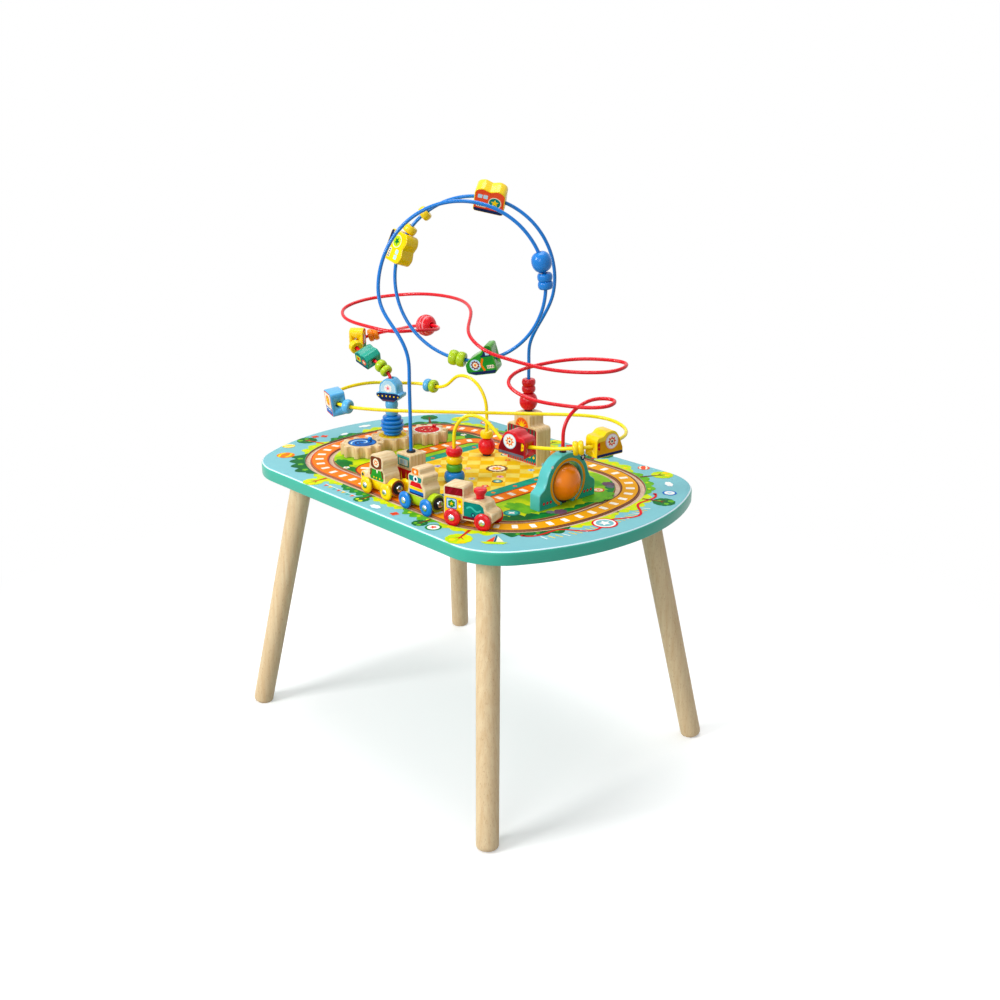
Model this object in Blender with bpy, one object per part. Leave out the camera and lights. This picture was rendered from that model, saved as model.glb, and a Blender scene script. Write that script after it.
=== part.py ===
"""Railway maze table: a round-cornered play table on four splayed beech legs, with a grooved
toy railway, three wooden gears, three shaped blocks, a ball in an arch and three bent wires
that carry threaded beads. Metres, +Z up, origin on the floor under the centre of the top."""

import math

import bmesh
import bpy
import numpy as np
from mathutils import Matrix, Vector

# Clearances between pieces
seat_gap = 0.0003        # between pieces that touch
run_gap = 0.0006         # round a post or axle that a piece turns on

# Table top
table_height = 0.389
top_thickness = 0.018
top_length = 0.620
top_width = 0.402
top_corner_radius = 0.084
top_end_bow = 0.032      # how far each short side bulges
top_edge_round = 0.004

# Legs, turned beech dowels that splay both ways
leg_foot_radius = 0.0146
leg_head_radius = 0.0153
leg_foot_round = 0.007   # rounding at the foot's edge
leg_foot_inset_x = 0.0528        # from the top's edge to the middle of a foot
leg_foot_inset_y = -0.0012       # the feet stand just outside the long sides
leg_head_inset_x = 0.1133
leg_head_inset_y = 0.0569
leg_screw_radius = 0.004
leg_screw_length = 0.011   # reaches into the top

# Railway grooves
track_length = 0.466     # of the centre line
track_width = 0.286
track_corner_radius = 0.104
track_end_bow = 0.004
track_gauge = 0.033
groove_width = 0.0075
groove_depth = 0.0022

# Train
wheel_radius = 0.0112
wheel_thickness = 0.005
wheel_rim_width = 0.0028
wheel_hub_radius = 0.0042
wheel_hub_height = 0.0012
wheel_base = 0.042
axle_radius = 0.0016
car_thickness = 0.025
base_radius = 0.0116          # the cars' round bases
base_centre_height = 0.0122
base_front = 0.0257           # from the middle of the wheel base
base_rear = 0.0268
base_seat_height = 0.0178     # flat that carries the figure
magnet_cup_radius = 0.0083
magnet_radius = 0.0044
magnet_reach = 0.0048         # how far it stands out of the base
rear_car_x = -0.0048          # middle of the wheel base
car_pitch = 0.0817            # rear car to middle car
engine_corner_angle = 20.0    # degrees round the front right corner
chimney_height = 0.0125
chimney_foot_radius = 0.0052
chimney_top_radius = 0.0082

# Gears
gear_teeth = 10
gear_thickness = 0.0165
gear_pitch = 0.0575           # centre to centre
gear_tip_radius = 0.0318
gear_root_radius = 0.0243
gear_centre = (-0.1694, -0.0027)
gear_pin_radius = 0.003
gear_knob_radius = 0.0032
gear_knob_height = 0.0042
gear_knob_offset = 0.0165
gear_blue_bearing = -88.0     # degrees, seen from above
gear_red_bearing = 77.0

# Wires and what is threaded on them
wire_radius = 0.0024
wire_socket_depth = 0.010
wire_bore_radius = 0.0037     # of the round beads
block_bore_radius = 0.0048
wire_step = 0.024         # between points of a straight stretch
wire_turn = math.radians(22)
coil_reach = 0.050        # half of the stretch that gives the coil's bend

# Blocks that stand on the top
castle_x = 0.0235
castle_to_track = 0.0505          # from its middle to the far track's centre line
castle_wire_offset = -0.001
castle_width = 0.062
castle_thickness = 0.027
castle_shoulder_height = 0.0555
castle_tower_width = 0.032
castle_height = 0.0741
booth_x = -0.005
booth_to_track = 0.044            # from its middle to the near track's centre line
booth_thickness = 0.027
booth_width = 0.029
booth_height = 0.0470
booth_skirt_width = 0.044
booth_skirt_height = 0.027
arch_centre = (0.1787, 0.0030)
arch_wire_foot = (0.1782, 0.0020)
arch_thickness = 0.0175
arch_crown_radius = 0.0388
arch_crown_height = 0.028     # centre of the round opening
arch_opening_radius = 0.0268
arch_foot_half = 0.0512
arch_foot_height = 0.020
arch_ball_radius = 0.0242
arch_ball_low = 0.0032
arch_ball_high = 0.0514

# Heights over the top of the beads on the upright ends of the wires
ribbed_low = 0.0170
ribbed_high = 0.0470
pale_double_high = 0.0690
stack_heights = (0.0, 0.0155, 0.0265, 0.0375, 0.0490)
end_ball_low = 0.0018
end_ball_high = 0.0262
end_bead_low = 0.0265
end_bead_high = 0.0375
castle_ball_low = 0.0755
castle_ball_high = 0.1010
castle_bead_high = 0.1205

top_z = table_height
under_z = table_height - top_thickness
leg_foot_x = top_length / 2 - leg_foot_inset_x
leg_foot_y = top_width / 2 - leg_foot_inset_y
leg_head_x = top_length / 2 - leg_head_inset_x
leg_head_y = top_width / 2 - leg_head_inset_y
booth_centre = (booth_x, -(track_width / 2 - booth_to_track))
castle_centre = (castle_x, track_width / 2 - castle_to_track)
castle_wire_foot = (castle_x + castle_wire_offset, castle_centre[1])


# Small tools

def clear_scene():
    for old in list(bpy.data.objects):
        bpy.data.objects.remove(old, do_unlink=True)


def paint(name, colour, roughness=0.45, metallic=0.0):
    """A Principled material from a linear colour."""
    material = bpy.data.materials.get(name) or bpy.data.materials.new(name)
    material.use_nodes = True
    shader = material.node_tree.nodes["Principled BSDF"]
    shader.inputs["Base Color"].default_value = (*colour, 1.0)
    shader.inputs["Roughness"].default_value = roughness
    shader.inputs["Metallic"].default_value = metallic
    material.diffuse_color = (*colour, 1.0)
    return material


beech = paint("beech", (0.78, 0.57, 0.34), 0.55)
aqua = paint("aqua_paint", (0.33, 0.66, 0.70), 0.4)
teal = paint("teal_paint", (0.03, 0.36, 0.29), 0.35)
pale_blue = paint("pale_blue_paint", (0.15, 0.46, 0.72), 0.3)
blue = paint("blue_paint", (0.02, 0.22, 0.60), 0.3)
red = paint("red_paint", (0.62, 0.01, 0.02), 0.3)
yellow = paint("yellow_paint", (0.90, 0.62, 0.02), 0.3)
orange = paint("orange_paint", (0.82, 0.20, 0.01), 0.3)
lime = paint("lime_paint", (0.42, 0.60, 0.03), 0.3)
green = paint("green_paint", (0.05, 0.32, 0.06), 0.3)


def add_object(name, mesh_tool, material, smooth=True):
    """Makes an object from a bmesh with outward faces."""
    bmesh.ops.recalc_face_normals(mesh_tool, faces=mesh_tool.faces)
    mesh = bpy.data.meshes.new(name)
    mesh_tool.to_mesh(mesh)
    mesh_tool.free()
    mesh.materials.append(material)
    if smooth:
        mesh.shade_smooth()
        mesh.set_sharp_from_angle(angle=math.radians(35))
    thing = bpy.data.objects.new(name, mesh)
    bpy.context.scene.collection.objects.link(thing)
    return thing


def cut(thing, cutter, operation="DIFFERENCE"):
    """Cuts a piece with a guide solid, or joins the guide to it."""
    cutter.hide_render = True
    cutter.display_type = "WIRE"
    step = thing.modifiers.new(operation.lower() + "_" + cutter.name, "BOOLEAN")
    step.operation = operation
    step.object = cutter
    step.solver = "EXACT"


def turned(name, profile, material, sides=14):
    """Spins a closed (radius, height) outline, or one that starts and ends on the axis."""
    lathe = bmesh.new()
    corners = [lathe.verts.new((radius, 0.0, height)) for radius, height in profile]
    on_axis = profile[0][0] < 1e-9
    edges = [lathe.edges.new(pair) for pair in zip(corners, corners[1:])]
    if not on_axis:
        edges.append(lathe.edges.new((corners[-1], corners[0])))
    bmesh.ops.spin(lathe, geom=corners + edges, cent=(0, 0, 0), axis=(0, 0, 1),
                   angle=math.tau, steps=sides, use_merge=True)
    bmesh.ops.remove_doubles(lathe, verts=lathe.verts, dist=1e-6)
    return add_object(name, lathe, material)


def cylinder(name, radius, low, high, material, sides=12):
    return turned(name, [(0, low), (radius, low), (radius, high), (0, high)], material, sides)


def prism(name, outline, thickness, material, smooth=True):
    """Saws an (x, z) outline from board; the board's thickness runs along Y."""
    saw = bmesh.new()
    corners = [saw.verts.new((x, -thickness / 2, z)) for x, z in outline]
    face = saw.faces.new(corners)
    pushed = bmesh.ops.extrude_face_region(saw, geom=[face])
    moved = [item for item in pushed["geom"] if isinstance(item, bmesh.types.BMVert)]
    bmesh.ops.translate(saw, verts=moved, vec=(0, thickness, 0))
    return add_object(name, saw, material, smooth)


def rounded(corners, steps=3):
    """Rounds each (x, z, radius) corner of an outline with an arc of a few steps."""
    outline = []
    count = len(corners)
    for index, (x, z, radius) in enumerate(corners):
        here = Vector((x, z))
        before = Vector(corners[index - 1][:2]) - here
        after = Vector(corners[(index + 1) % count][:2]) - here
        if radius <= 0:
            outline.append((x, z))
            continue
        half = before.angle(after) / 2
        reach = min(radius / math.tan(half), 0.49 * before.length, 0.49 * after.length)
        radius = reach * math.tan(half)
        centre = here + (before.normalized() + after.normalized()).normalized() * radius / math.sin(half)
        first = here + before.normalized() * reach - centre
        last = here + after.normalized() * reach - centre
        sweep = first.angle_signed(last)
        for step in range(steps + 1):
            turn = Matrix.Rotation(-sweep * step / steps, 2)
            outline.append(tuple(centre + turn @ first))
    return outline


def bowed_outline(length, width, corner_radius, end_bow, inset=0.0, corner_steps=7, end_steps=6):
    """A rectangle with straight long sides, bulging short sides and round corners."""
    core_x = length / 2 - corner_radius - end_bow
    core_y = width / 2 - corner_radius
    bow_radius = (core_y ** 2 + end_bow ** 2) / (2 * end_bow)
    bow_centre = core_x + end_bow - bow_radius
    bow_angle = math.asin(core_y / bow_radius)
    reach = corner_radius - inset
    quarter = []
    for step in range(end_steps // 2):
        angle = bow_angle * (step + 0.5) / (end_steps / 2)
        if angle < bow_angle * 0.999:
            quarter.append((bow_centre + (bow_radius + reach) * math.cos(angle),
                            (bow_radius + reach) * math.sin(angle)))
    for step in range(corner_steps + 1):
        angle = bow_angle + (math.pi / 2 - bow_angle) * step / corner_steps
        quarter.append((core_x + reach * math.cos(angle), core_y + reach * math.sin(angle)))
    top_right = quarter
    top_left = [(-x, y) for x, y in reversed(quarter)]
    low_left = [(-x, -y) for x, y in quarter]
    low_right = [(x, -y) for x, y in reversed(quarter)]
    return top_right + top_left + low_left + low_right


def stack_rings(name, rings, material, closed_loop=False):
    """Skins a pile of equal outlines, each with its height, and caps both ends."""
    skin = bmesh.new()
    rows = [[skin.verts.new((x, y, z)) for x, y in outline] for outline, z in rings]
    if closed_loop:
        rows.append(rows[0])
    for low, high in zip(rows, rows[1:]):
        for index in range(len(low)):
            following = (index + 1) % len(low)
            skin.faces.new((low[index], low[following], high[following], high[index]))
    if not closed_loop:
        skin.faces.new(rows[0])
        skin.faces.new(rows[-1])
    return add_object(name, skin, material)


# Wires

def smooth_path(points, start_direction, end_direction, step):
    """A cubic spline clamped at both ends, with shorter steps where it bends more."""
    spots = np.array(points, float)
    gaps = np.linalg.norm(np.diff(spots, axis=0), axis=1)
    count = len(spots)
    system = np.zeros((count, count))
    target = np.zeros((count, 3))
    slopes = np.diff(spots, axis=0) / gaps[:, None]
    system[0, :2] = 2 * gaps[0], gaps[0]
    target[0] = 6 * (slopes[0] - np.array(start_direction))
    system[-1, -2:] = gaps[-1], 2 * gaps[-1]
    target[-1] = 6 * (np.array(end_direction) - slopes[-1])
    for row in range(1, count - 1):
        system[row, row - 1:row + 2] = gaps[row - 1], 2 * (gaps[row - 1] + gaps[row]), gaps[row]
        target[row] = 6 * (slopes[row] - slopes[row - 1])
    bends = np.linalg.solve(system, target)
    fine = []
    for index, gap in enumerate(gaps):
        along = np.linspace(0, 1, 40, endpoint=False)[:, None]
        back = 1 - along
        fine.append(back * spots[index] + along * spots[index + 1]
                    + gap ** 2 / 6 * ((back ** 3 - back) * bends[index]
                                      + (along ** 3 - along) * bends[index + 1]))
    fine = np.vstack(fine + [spots[-1:]])
    moves = np.diff(fine, axis=0)
    lengths = np.linalg.norm(moves, axis=1)
    headings = moves / lengths[:, None]
    turns = np.arccos(np.clip((headings[1:] * headings[:-1]).sum(axis=1), -1, 1))
    cost = np.concatenate([[0], np.cumsum(lengths / step + np.append(0, turns) / wire_turn)])
    marks = np.linspace(0, cost[-1], round(cost[-1]) + 1)
    return np.column_stack([np.interp(marks, cost, fine[:, axis]) for axis in range(3)])


def bent_wire(foot, route, head, step):
    """A wire that rises straight from its foot, follows the route and drops to its head."""
    above = [(x, y, top_z + height) for x, y, height in route]
    middle = smooth_path(above, (0, 0, 1), (0, 0, -1), step)
    return np.vstack([[foot], middle, [head]])


def point_on(path, distance):
    """The point at a distance along the wire, measured from the start of its bent stretch."""
    travelled = np.concatenate([[0], np.cumsum(np.linalg.norm(np.diff(path, axis=0), axis=1))])
    travelled = travelled - travelled[1]
    return np.array([np.interp(distance, travelled, path[:, axis]) for axis in range(3)])


def bend_on(path, distance, reach):
    """Centre, axis and radius of the circle through three points of the wire."""
    before, here, after = (Vector(point_on(path, distance + shift)) for shift in (-reach, 0, reach))
    first, second = before - here, after - here
    axis = second.cross(first)
    lift = (first.length_squared * second - second.length_squared * first).cross(axis)
    centre = here - lift / (2 * axis.length_squared)
    return centre, axis.normalized(), (here - centre).length


helix_radius = 0.106
helix_advance = 0.074        # along its axis in each turn
helix_azimuth = 125.6        # degrees, direction of its axis
helix_centre = (0.0396, -0.0503, 0.2648)     # at the left of the first turn, over the top


def helix_point(angle):
    """Point of the blue coil; the angle runs clockwise from its left side, in degrees."""
    heading = math.radians(helix_azimuth)
    axis = Vector((math.cos(heading), math.sin(heading), 0))
    right = Vector((math.sin(heading), -math.cos(heading), 0))
    turn = math.radians(angle)
    return tuple(Vector(helix_centre) + axis * helix_advance * angle / 360
                 - right * helix_radius * math.cos(turn) + Vector((0, 0, helix_radius * math.sin(turn))))


blue_route = (
    [(*booth_centre, 0.140), (booth_centre[0] - 0.0015, booth_centre[1] - 0.0005, 0.176),
     (booth_centre[0] - 0.013, booth_centre[1] - 0.007, 0.205)]
    + [helix_point(angle) for angle in range(-15, 570, 30)]
    + [(castle_wire_foot[0] + 0.0085, castle_wire_foot[1] + 0.0025, 0.188),
       (castle_wire_foot[0] + 0.0011, castle_wire_foot[1] + 0.0001, 0.168), (*castle_wire_foot, 0.142)])

red_route = [
    (-0.1694, -0.0027, 0.0960), (-0.1723, -0.0033, 0.1075), (-0.1790, -0.0042, 0.1135),
    (-0.1890, -0.0055, 0.1190), (-0.2025, -0.0075, 0.1245), (-0.2165, -0.0090, 0.1295),
    (-0.2310, -0.0105, 0.1345), (-0.2450, -0.0090, 0.1390), (-0.2555, -0.0020, 0.1425),
    (-0.2610, 0.0080, 0.1455), (-0.2706, 0.0155, 0.1435), (-0.2756, 0.0271, 0.1427),
    (-0.2737, 0.0401, 0.1451), (-0.2691, 0.0465, 0.1472), (-0.2590, 0.0514, 0.1504),
    (-0.2379, 0.0513, 0.1560), (-0.2042, 0.0449, 0.1649), (-0.1675, 0.0345, 0.1745),
    (-0.1290, 0.0347, 0.1823), (-0.1143, 0.0330, 0.1841), (-0.0975, 0.0289, 0.1844),
    (-0.0849, 0.0161, 0.1848), (-0.0797, -0.0033, 0.1869), (-0.0848, -0.0250, 0.1886),
    (-0.0980, -0.0440, 0.1880), (-0.1410, -0.0610, 0.1910), (-0.1920, -0.0640, 0.1970),
    (-0.2190, -0.0450, 0.2040), (-0.2220, -0.0080, 0.2115), (-0.1900, 0.0330, 0.2185),
    (-0.1440, 0.0510, 0.2230), (-0.1000, 0.0560, 0.2235), (-0.0602, 0.0477, 0.2219),
    (-0.0263, 0.0284, 0.2154), (-0.0010, 0.0018, 0.2049), (0.0255, -0.0183, 0.1948),
    (0.0548, -0.0195, 0.1823), (0.0873, -0.0059, 0.1732), (0.1341, 0.0159, 0.1652),
    (0.1800, 0.0410, 0.1645), (0.2060, 0.0740, 0.1675), (0.1980, 0.0960, 0.1700),
    (0.1660, 0.0920, 0.1710), (0.1230, 0.0620, 0.1680), (0.0990, 0.0260, 0.1615),
    (0.0900, 0.0000, 0.1540), (0.0960, -0.0160, 0.1460), (0.1250, -0.0180, 0.1340),
    (0.1710, 0.0010, 0.1275), (0.2040, 0.0200, 0.1270), (0.2215, 0.0420, 0.1295),
    (0.2125, 0.0578, 0.1312), (0.1946, 0.0517, 0.1312), (0.1841, 0.0290, 0.1255),
    (0.1795, 0.0090, 0.1100), (0.1782, 0.0020, 0.0880)]

yellow_route = [
    (0.0237, -0.0479, 0.062), (0.028, -0.046, 0.081), (0.038, -0.040, 0.093),
    (0.050, -0.035, 0.096), (0.062, -0.030, 0.093), (0.074, -0.027, 0.086),
    (0.089, -0.025, 0.074), (0.112, -0.021, 0.067), (0.140, -0.015, 0.068),
    (0.172, -0.009, 0.072), (0.199, 0.001, 0.0765), (0.217, 0.026, 0.079),
    (0.220, 0.054, 0.080), (0.212, 0.083, 0.081), (0.192, 0.103, 0.083),
    (0.163, 0.109, 0.086), (0.128, 0.098, 0.087), (0.082, 0.070, 0.085),
    (0.015, 0.012, 0.0845), (-0.057, -0.054, 0.0845), (-0.101, -0.098, 0.087),
    (-0.126, -0.115, 0.089), (-0.152, -0.115, 0.090), (-0.178, -0.100, 0.091),
    (-0.198, -0.077, 0.091), (-0.208, -0.044, 0.0915), (-0.204, -0.008, 0.091),
    (-0.180, 0.027, 0.089), (-0.150, 0.044, 0.0895), (-0.124, 0.051, 0.089),
    (-0.107, 0.054, 0.096), (-0.091, 0.056, 0.109), (-0.075, 0.058, 0.113),
    (-0.059, 0.061, 0.109), (-0.047, 0.064, 0.098), (-0.039, 0.0665, 0.080),
    (-0.0369, 0.0667, 0.058)]


def place(thing, matrix, pivot=None):
    """Moves a mesh into place and puts the piece's origin on its joint axis."""
    origin = Vector(pivot) if pivot is not None else matrix.translation.copy()
    thing.data.transform(Matrix.Translation(-origin) @ matrix)
    thing.location = origin
    return thing


def frame_at(origin, along, up):
    """Local x runs along the wire and local z as near to the given direction as it can."""
    x_axis = Vector(along).normalized()
    z_axis = (Vector(up) - x_axis * x_axis.dot(Vector(up))).normalized()
    y_axis = z_axis.cross(x_axis)
    return Matrix.Translation(origin) @ Matrix((x_axis, y_axis, z_axis)).transposed().to_4x4()


def seat_on(path, distance, length):
    """Middle and direction of a threaded piece, from the stretch of wire inside it."""
    marks = [point_on(path, distance + length * share) for share in (-0.5, -0.25, 0.0, 0.25, 0.5)]
    middle = Vector(sum(marks) / 5)
    return middle, Vector(marks[-1] - marks[0]).normalized()


def lobed(radius, length, bore, lobes=1, waist=0.62, steps=4):
    """Closed outline of a turned bead with one or more rounded swellings."""
    neck = bore + (radius - bore) * waist
    half = length / lobes / 2
    outline = [(bore, -length / 2)]
    for lobe in range(lobes):
        middle = -length / 2 + half * (2 * lobe + 1)
        for step in range(steps + 1):
            if lobe and step == 0:
                continue
            angle = math.pi * (step / steps - 0.5)
            outline.append((neck + (radius - neck) * math.cos(angle), middle + half * math.sin(angle)))
    outline.append((bore, length / 2))
    return outline


def round_bead(name, radius, length, material, path, distance, lobes=1, waist=0.62, steps=3,
               sides=12, pivot=None):
    """A turned bead threaded on a bent wire."""
    bead = turned(name, lobed(radius, length, wire_bore_radius, lobes, waist, steps), material, sides)
    middle, along = seat_on(path, distance, length)
    lay_down = Matrix.Rotation(math.pi / 2, 4, "Y")
    return place(bead, frame_at(middle, along, (0.1, 0.2, 1)) @ lay_down, pivot)


def post_bead(name, radius, low, high, material, post, lobes=1, waist=0.62, steps=3,
              bore=wire_radius + run_gap, sides=12):
    """A turned bead on an upright post, between two heights over the top."""
    length = high - low - seat_gap
    bead = turned(name, lobed(radius, length, bore, lobes, waist, steps), material, sides)
    return place(bead, Matrix.Translation((*post, top_z + (low + seat_gap + high) / 2)))


def drilled_block(name, outline, thickness, material, path, distance, up, bore_height, pivot=None,
                  flip=1):
    """A block sawn from board and drilled along its length, threaded on a bent wire."""
    length = max(x for x, z in outline) - min(x for x, z in outline)
    middle, along = seat_on(path, distance, length)
    block = prism(name, [(x, z - bore_height) for x, z in outline], thickness, material)
    drill = cylinder(name + "_drill", block_bore_radius, -length, length, material, 10)
    drill.data.transform(Matrix.Rotation(math.pi / 2, 4, "Y"))
    seat = frame_at(middle, along * flip, up)
    place(block, seat, pivot)
    place(drill, seat)
    cut(block, drill)
    return block


# Table top and legs

def build_top():
    rings = []
    for inset, height in ((0.0015, under_z), (0.0, under_z + 0.0015),
                          (0.0, top_z - top_edge_round),
                          (top_edge_round * 0.29, top_z - top_edge_round * 0.29),
                          (top_edge_round, top_z)):
        rings.append((bowed_outline(top_length, top_width, top_corner_radius, top_end_bow, inset), height))
    top = stack_rings("tabletop", rings, aqua)
    for side in (-1, 1):
        inner = side * track_gauge / 2 + groove_width / 2
        outer = side * track_gauge / 2 - groove_width / 2
        outlines = [bowed_outline(track_length, track_width, track_corner_radius, track_end_bow, inset)
                    for inset in (inner, outer)]
        floor = top_z - groove_depth
        lid = top_z + 0.005
        groove = stack_rings("groove_cutter_" + ("outer" if side < 0 else "inner"),
                             [(outlines[0], floor), (outlines[1], floor),
                              (outlines[1], lid), (outlines[0], lid)], aqua, closed_loop=True)
        cut(top, groove)
    for index, (x, y) in enumerate(wire_feet):
        socket = cylinder(f"wire_socket_cutter_{index}", wire_radius + seat_gap,
                          top_z - wire_socket_depth, top_z + 0.01, aqua, 12)
        place(socket, Matrix.Translation((x, y, 0)))
        cut(top, socket)
    for index, (x, y) in enumerate((gear_blue_centre, gear_red_centre)):
        socket = cylinder(f"pin_socket_cutter_{index}", gear_pin_radius + run_gap,
                          top_z - wire_socket_depth, top_z + 0.01, aqua, 12)
        place(socket, Matrix.Translation((x, y, 0)))
        cut(top, socket)
    for name, side_x, side_y in leg_places:
        socket = cylinder(name + "_socket_cutter", leg_screw_radius + seat_gap, under_z - 0.01,
                          under_z + leg_screw_length + seat_gap, aqua, 12)
        place(socket, Matrix.Translation((side_x * leg_head_x, side_y * leg_head_y, 0)))
        cut(top, socket)
    return top


def build_leg(name, side_x, side_y):
    """A tapered dowel, sawn off level with the floor and with the underside of the top."""
    foot = Vector((side_x * leg_foot_x, side_y * leg_foot_y, 0.0))
    head = Vector((side_x * leg_head_x, side_y * leg_head_y, under_z))
    slope = (head - foot).normalized()
    length = (head - foot).length
    profile = [(0.0, -0.0012)]
    for step in range(4):
        angle = math.pi / 2 * step / 3
        profile.append((leg_foot_radius - leg_foot_round * (1 - math.sin(angle)),
                        -0.0012 + leg_foot_round * (1 - math.cos(angle))))
    profile += [(leg_head_radius, length + 0.02), (0.0, length + 0.02)]
    blank = turned(name, profile, beech, 20)
    turn = Vector((0, 0, 1)).rotation_difference(slope).to_matrix().to_4x4()
    blank.data.transform(Matrix.Translation(foot) @ turn)
    saw = bmesh.new()
    saw.from_mesh(blank.data)
    for height, direction in ((0.0, -1), (under_z - seat_gap, 1)):
        everything = list(saw.verts) + list(saw.edges) + list(saw.faces)
        sliced = bmesh.ops.bisect_plane(saw, geom=everything, plane_co=(0, 0, height),
                                        plane_no=(0, 0, direction), clear_outer=True)
        rim = [item for item in sliced["geom_cut"] if isinstance(item, bmesh.types.BMEdge)]
        bmesh.ops.holes_fill(saw, edges=rim)
    bmesh.ops.recalc_face_normals(saw, faces=saw.faces)
    saw.to_mesh(blank.data)
    saw.free()
    screw = cylinder(name + "_screw_guide", leg_screw_radius, under_z - 0.012,
                     under_z + leg_screw_length, beech, 12)
    place(screw, Matrix.Translation((head.x, head.y, 0)))
    place(blank, Matrix.Identity(4), foot)
    cut(blank, screw, "UNION")
    return blank


# Gears

def gear_outline(first_tooth):
    """Involute teeth with rounded tips and roots; the first tooth points along the given angle."""
    pitch_radius = gear_pitch / 2
    pressure = math.radians(20)
    base_radius = pitch_radius * math.cos(pressure)
    half_tooth = math.pi / gear_teeth / 2 - 0.0004 / pitch_radius
    rolled = math.tan(pressure) - pressure
    flank = [(gear_root_radius, math.pi / gear_teeth * 0.80),
             (gear_root_radius + 0.0007, math.pi / gear_teeth * 0.66)]
    for radius in (base_radius + 0.0002, base_radius + 0.0021, gear_tip_radius - 0.0012):
        angle = math.acos(base_radius / radius)
        flank.append((radius, half_tooth + rolled - (math.tan(angle) - angle)))
    last = flank[-1]
    flank.append((gear_tip_radius, last[1] - 0.0018 / gear_tip_radius))
    outline = []
    for tooth in range(gear_teeth):
        centre = first_tooth + tooth * math.tau / gear_teeth
        for radius, angle in flank:
            outline.append((radius * math.cos(centre - angle), radius * math.sin(centre - angle)))
        for radius, angle in reversed(flank):
            outline.append((radius * math.cos(centre + angle), radius * math.sin(centre + angle)))
    return outline


def build_gear(name, centre, first_tooth, knob_bearing=None):
    low = seat_gap
    outline = gear_outline(first_tooth)
    gear = stack_rings(name, [(outline, low), (outline, low + gear_thickness)], beech)
    if knob_bearing is None:
        hole = cylinder(name + "_axle_cutter", wire_radius + run_gap, -0.01, 0.03, beech, 12)
        guides = [(hole, "DIFFERENCE")]
    else:
        pin = cylinder(name + "_pin_guide", gear_pin_radius,
                       seat_gap - wire_socket_depth, low + 0.005, beech, 12)
        heading = math.radians(knob_bearing)
        knob = turned(name + "_knob_guide",
                      [(0, 0.015), (gear_knob_radius, 0.015),
                       (gear_knob_radius, low + gear_thickness + gear_knob_height * 0.65),
                       (gear_knob_radius * 0.6, low + gear_thickness + gear_knob_height),
                       (0, low + gear_thickness + gear_knob_height)], beech, 10)
        knob.data.transform(Matrix.Translation((gear_knob_offset * math.cos(heading),
                                                gear_knob_offset * math.sin(heading), 0)))
        guides = [(pin, "UNION"), (knob, "UNION")]
    spot = Matrix.Translation((*centre, top_z))
    place(gear, spot)
    for guide, operation in guides:
        place(guide, spot)
        cut(gear, guide, operation)
    return gear


# Blocks that stand on the top

def stand_block(name, outline, thickness, centre, turn=0.0):
    block = prism(name, outline, thickness, beech)
    matrix = Matrix.Translation((*centre, top_z + seat_gap)) @ Matrix.Rotation(turn, 4, "Z")
    return place(block, matrix)


def build_booth():
    skirt, body, tall = booth_skirt_width / 2, booth_width / 2, booth_height - seat_gap
    outline = rounded([
        (-skirt * 0.68, 0, 0.001), (-skirt, booth_skirt_height - 0.001, 0.002),
        (-body, booth_skirt_height + 0.002, 0.001), (-body, tall, 0.002),
        (body, tall, 0.002), (body, booth_skirt_height + 0.002, 0.001),
        (skirt, booth_skirt_height - 0.001, 0.002), (skirt * 0.68, 0, 0.001)], 2)
    booth = stand_block("booth_block", outline, booth_thickness, booth_centre)
    cut(booth, wire_socket("booth_wire_cutter", booth_centre, booth_height))
    return booth


def build_castle():
    wall, tower, tall = castle_width / 2, castle_tower_width / 2, castle_height - seat_gap
    shoulder = castle_shoulder_height
    outline = rounded([
        (-wall, 0, 0), (-wall, shoulder, 0.006), (-tower, shoulder, 0.003), (-tower, tall, 0.006),
        (tower, tall, 0.006), (tower, shoulder, 0.003), (wall, shoulder, 0.006), (wall, 0, 0)])
    castle = stand_block("castle_block", outline, castle_thickness, castle_centre)
    cut(castle, wire_socket("castle_wire_cutter", castle_wire_foot, castle_height))
    return castle


def wire_socket(name, spot, height):
    socket = cylinder(name, wire_radius + seat_gap, top_z + height - wire_socket_depth,
                      top_z + height + 0.01, beech, 12)
    return place(socket, Matrix.Translation((*spot, 0)))


def build_arch():
    outline = [(-arch_foot_half, 0), (-arch_foot_half, arch_foot_height)]
    outline += [(-arch_foot_half + 0.0032, arch_foot_height + 0.0032), (-0.0420, 0.0275)]
    for step in range(15):
        angle = math.radians(168 - step * 156 / 14)
        outline.append((arch_crown_radius * math.cos(angle),
                        arch_crown_height + arch_crown_radius * math.sin(angle)))
    outline += [(0.0420, 0.0275), (arch_foot_half - 0.0032, arch_foot_height + 0.0032),
                (arch_foot_half, arch_foot_height), (arch_foot_half, 0)]
    mouth = arch_opening_radius * math.cos(math.radians(-68))
    outline.append((mouth, 0))
    for step in range(19):
        angle = math.radians(-68 + step * 316 / 18)
        outline.append((arch_opening_radius * math.cos(angle),
                        arch_crown_height + arch_opening_radius * math.sin(angle)))
    outline.append((-mouth, 0))
    arch = stand_block("arch_block", outline, arch_thickness, arch_centre, math.pi / 2)
    drill = cylinder("arch_wire_cutter", wire_radius + seat_gap, top_z + 0.05, top_z + 0.08, beech, 12)
    cut(arch, place(drill, Matrix.Translation((*arch_wire_foot, 0))))
    return arch


# Wires

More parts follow.
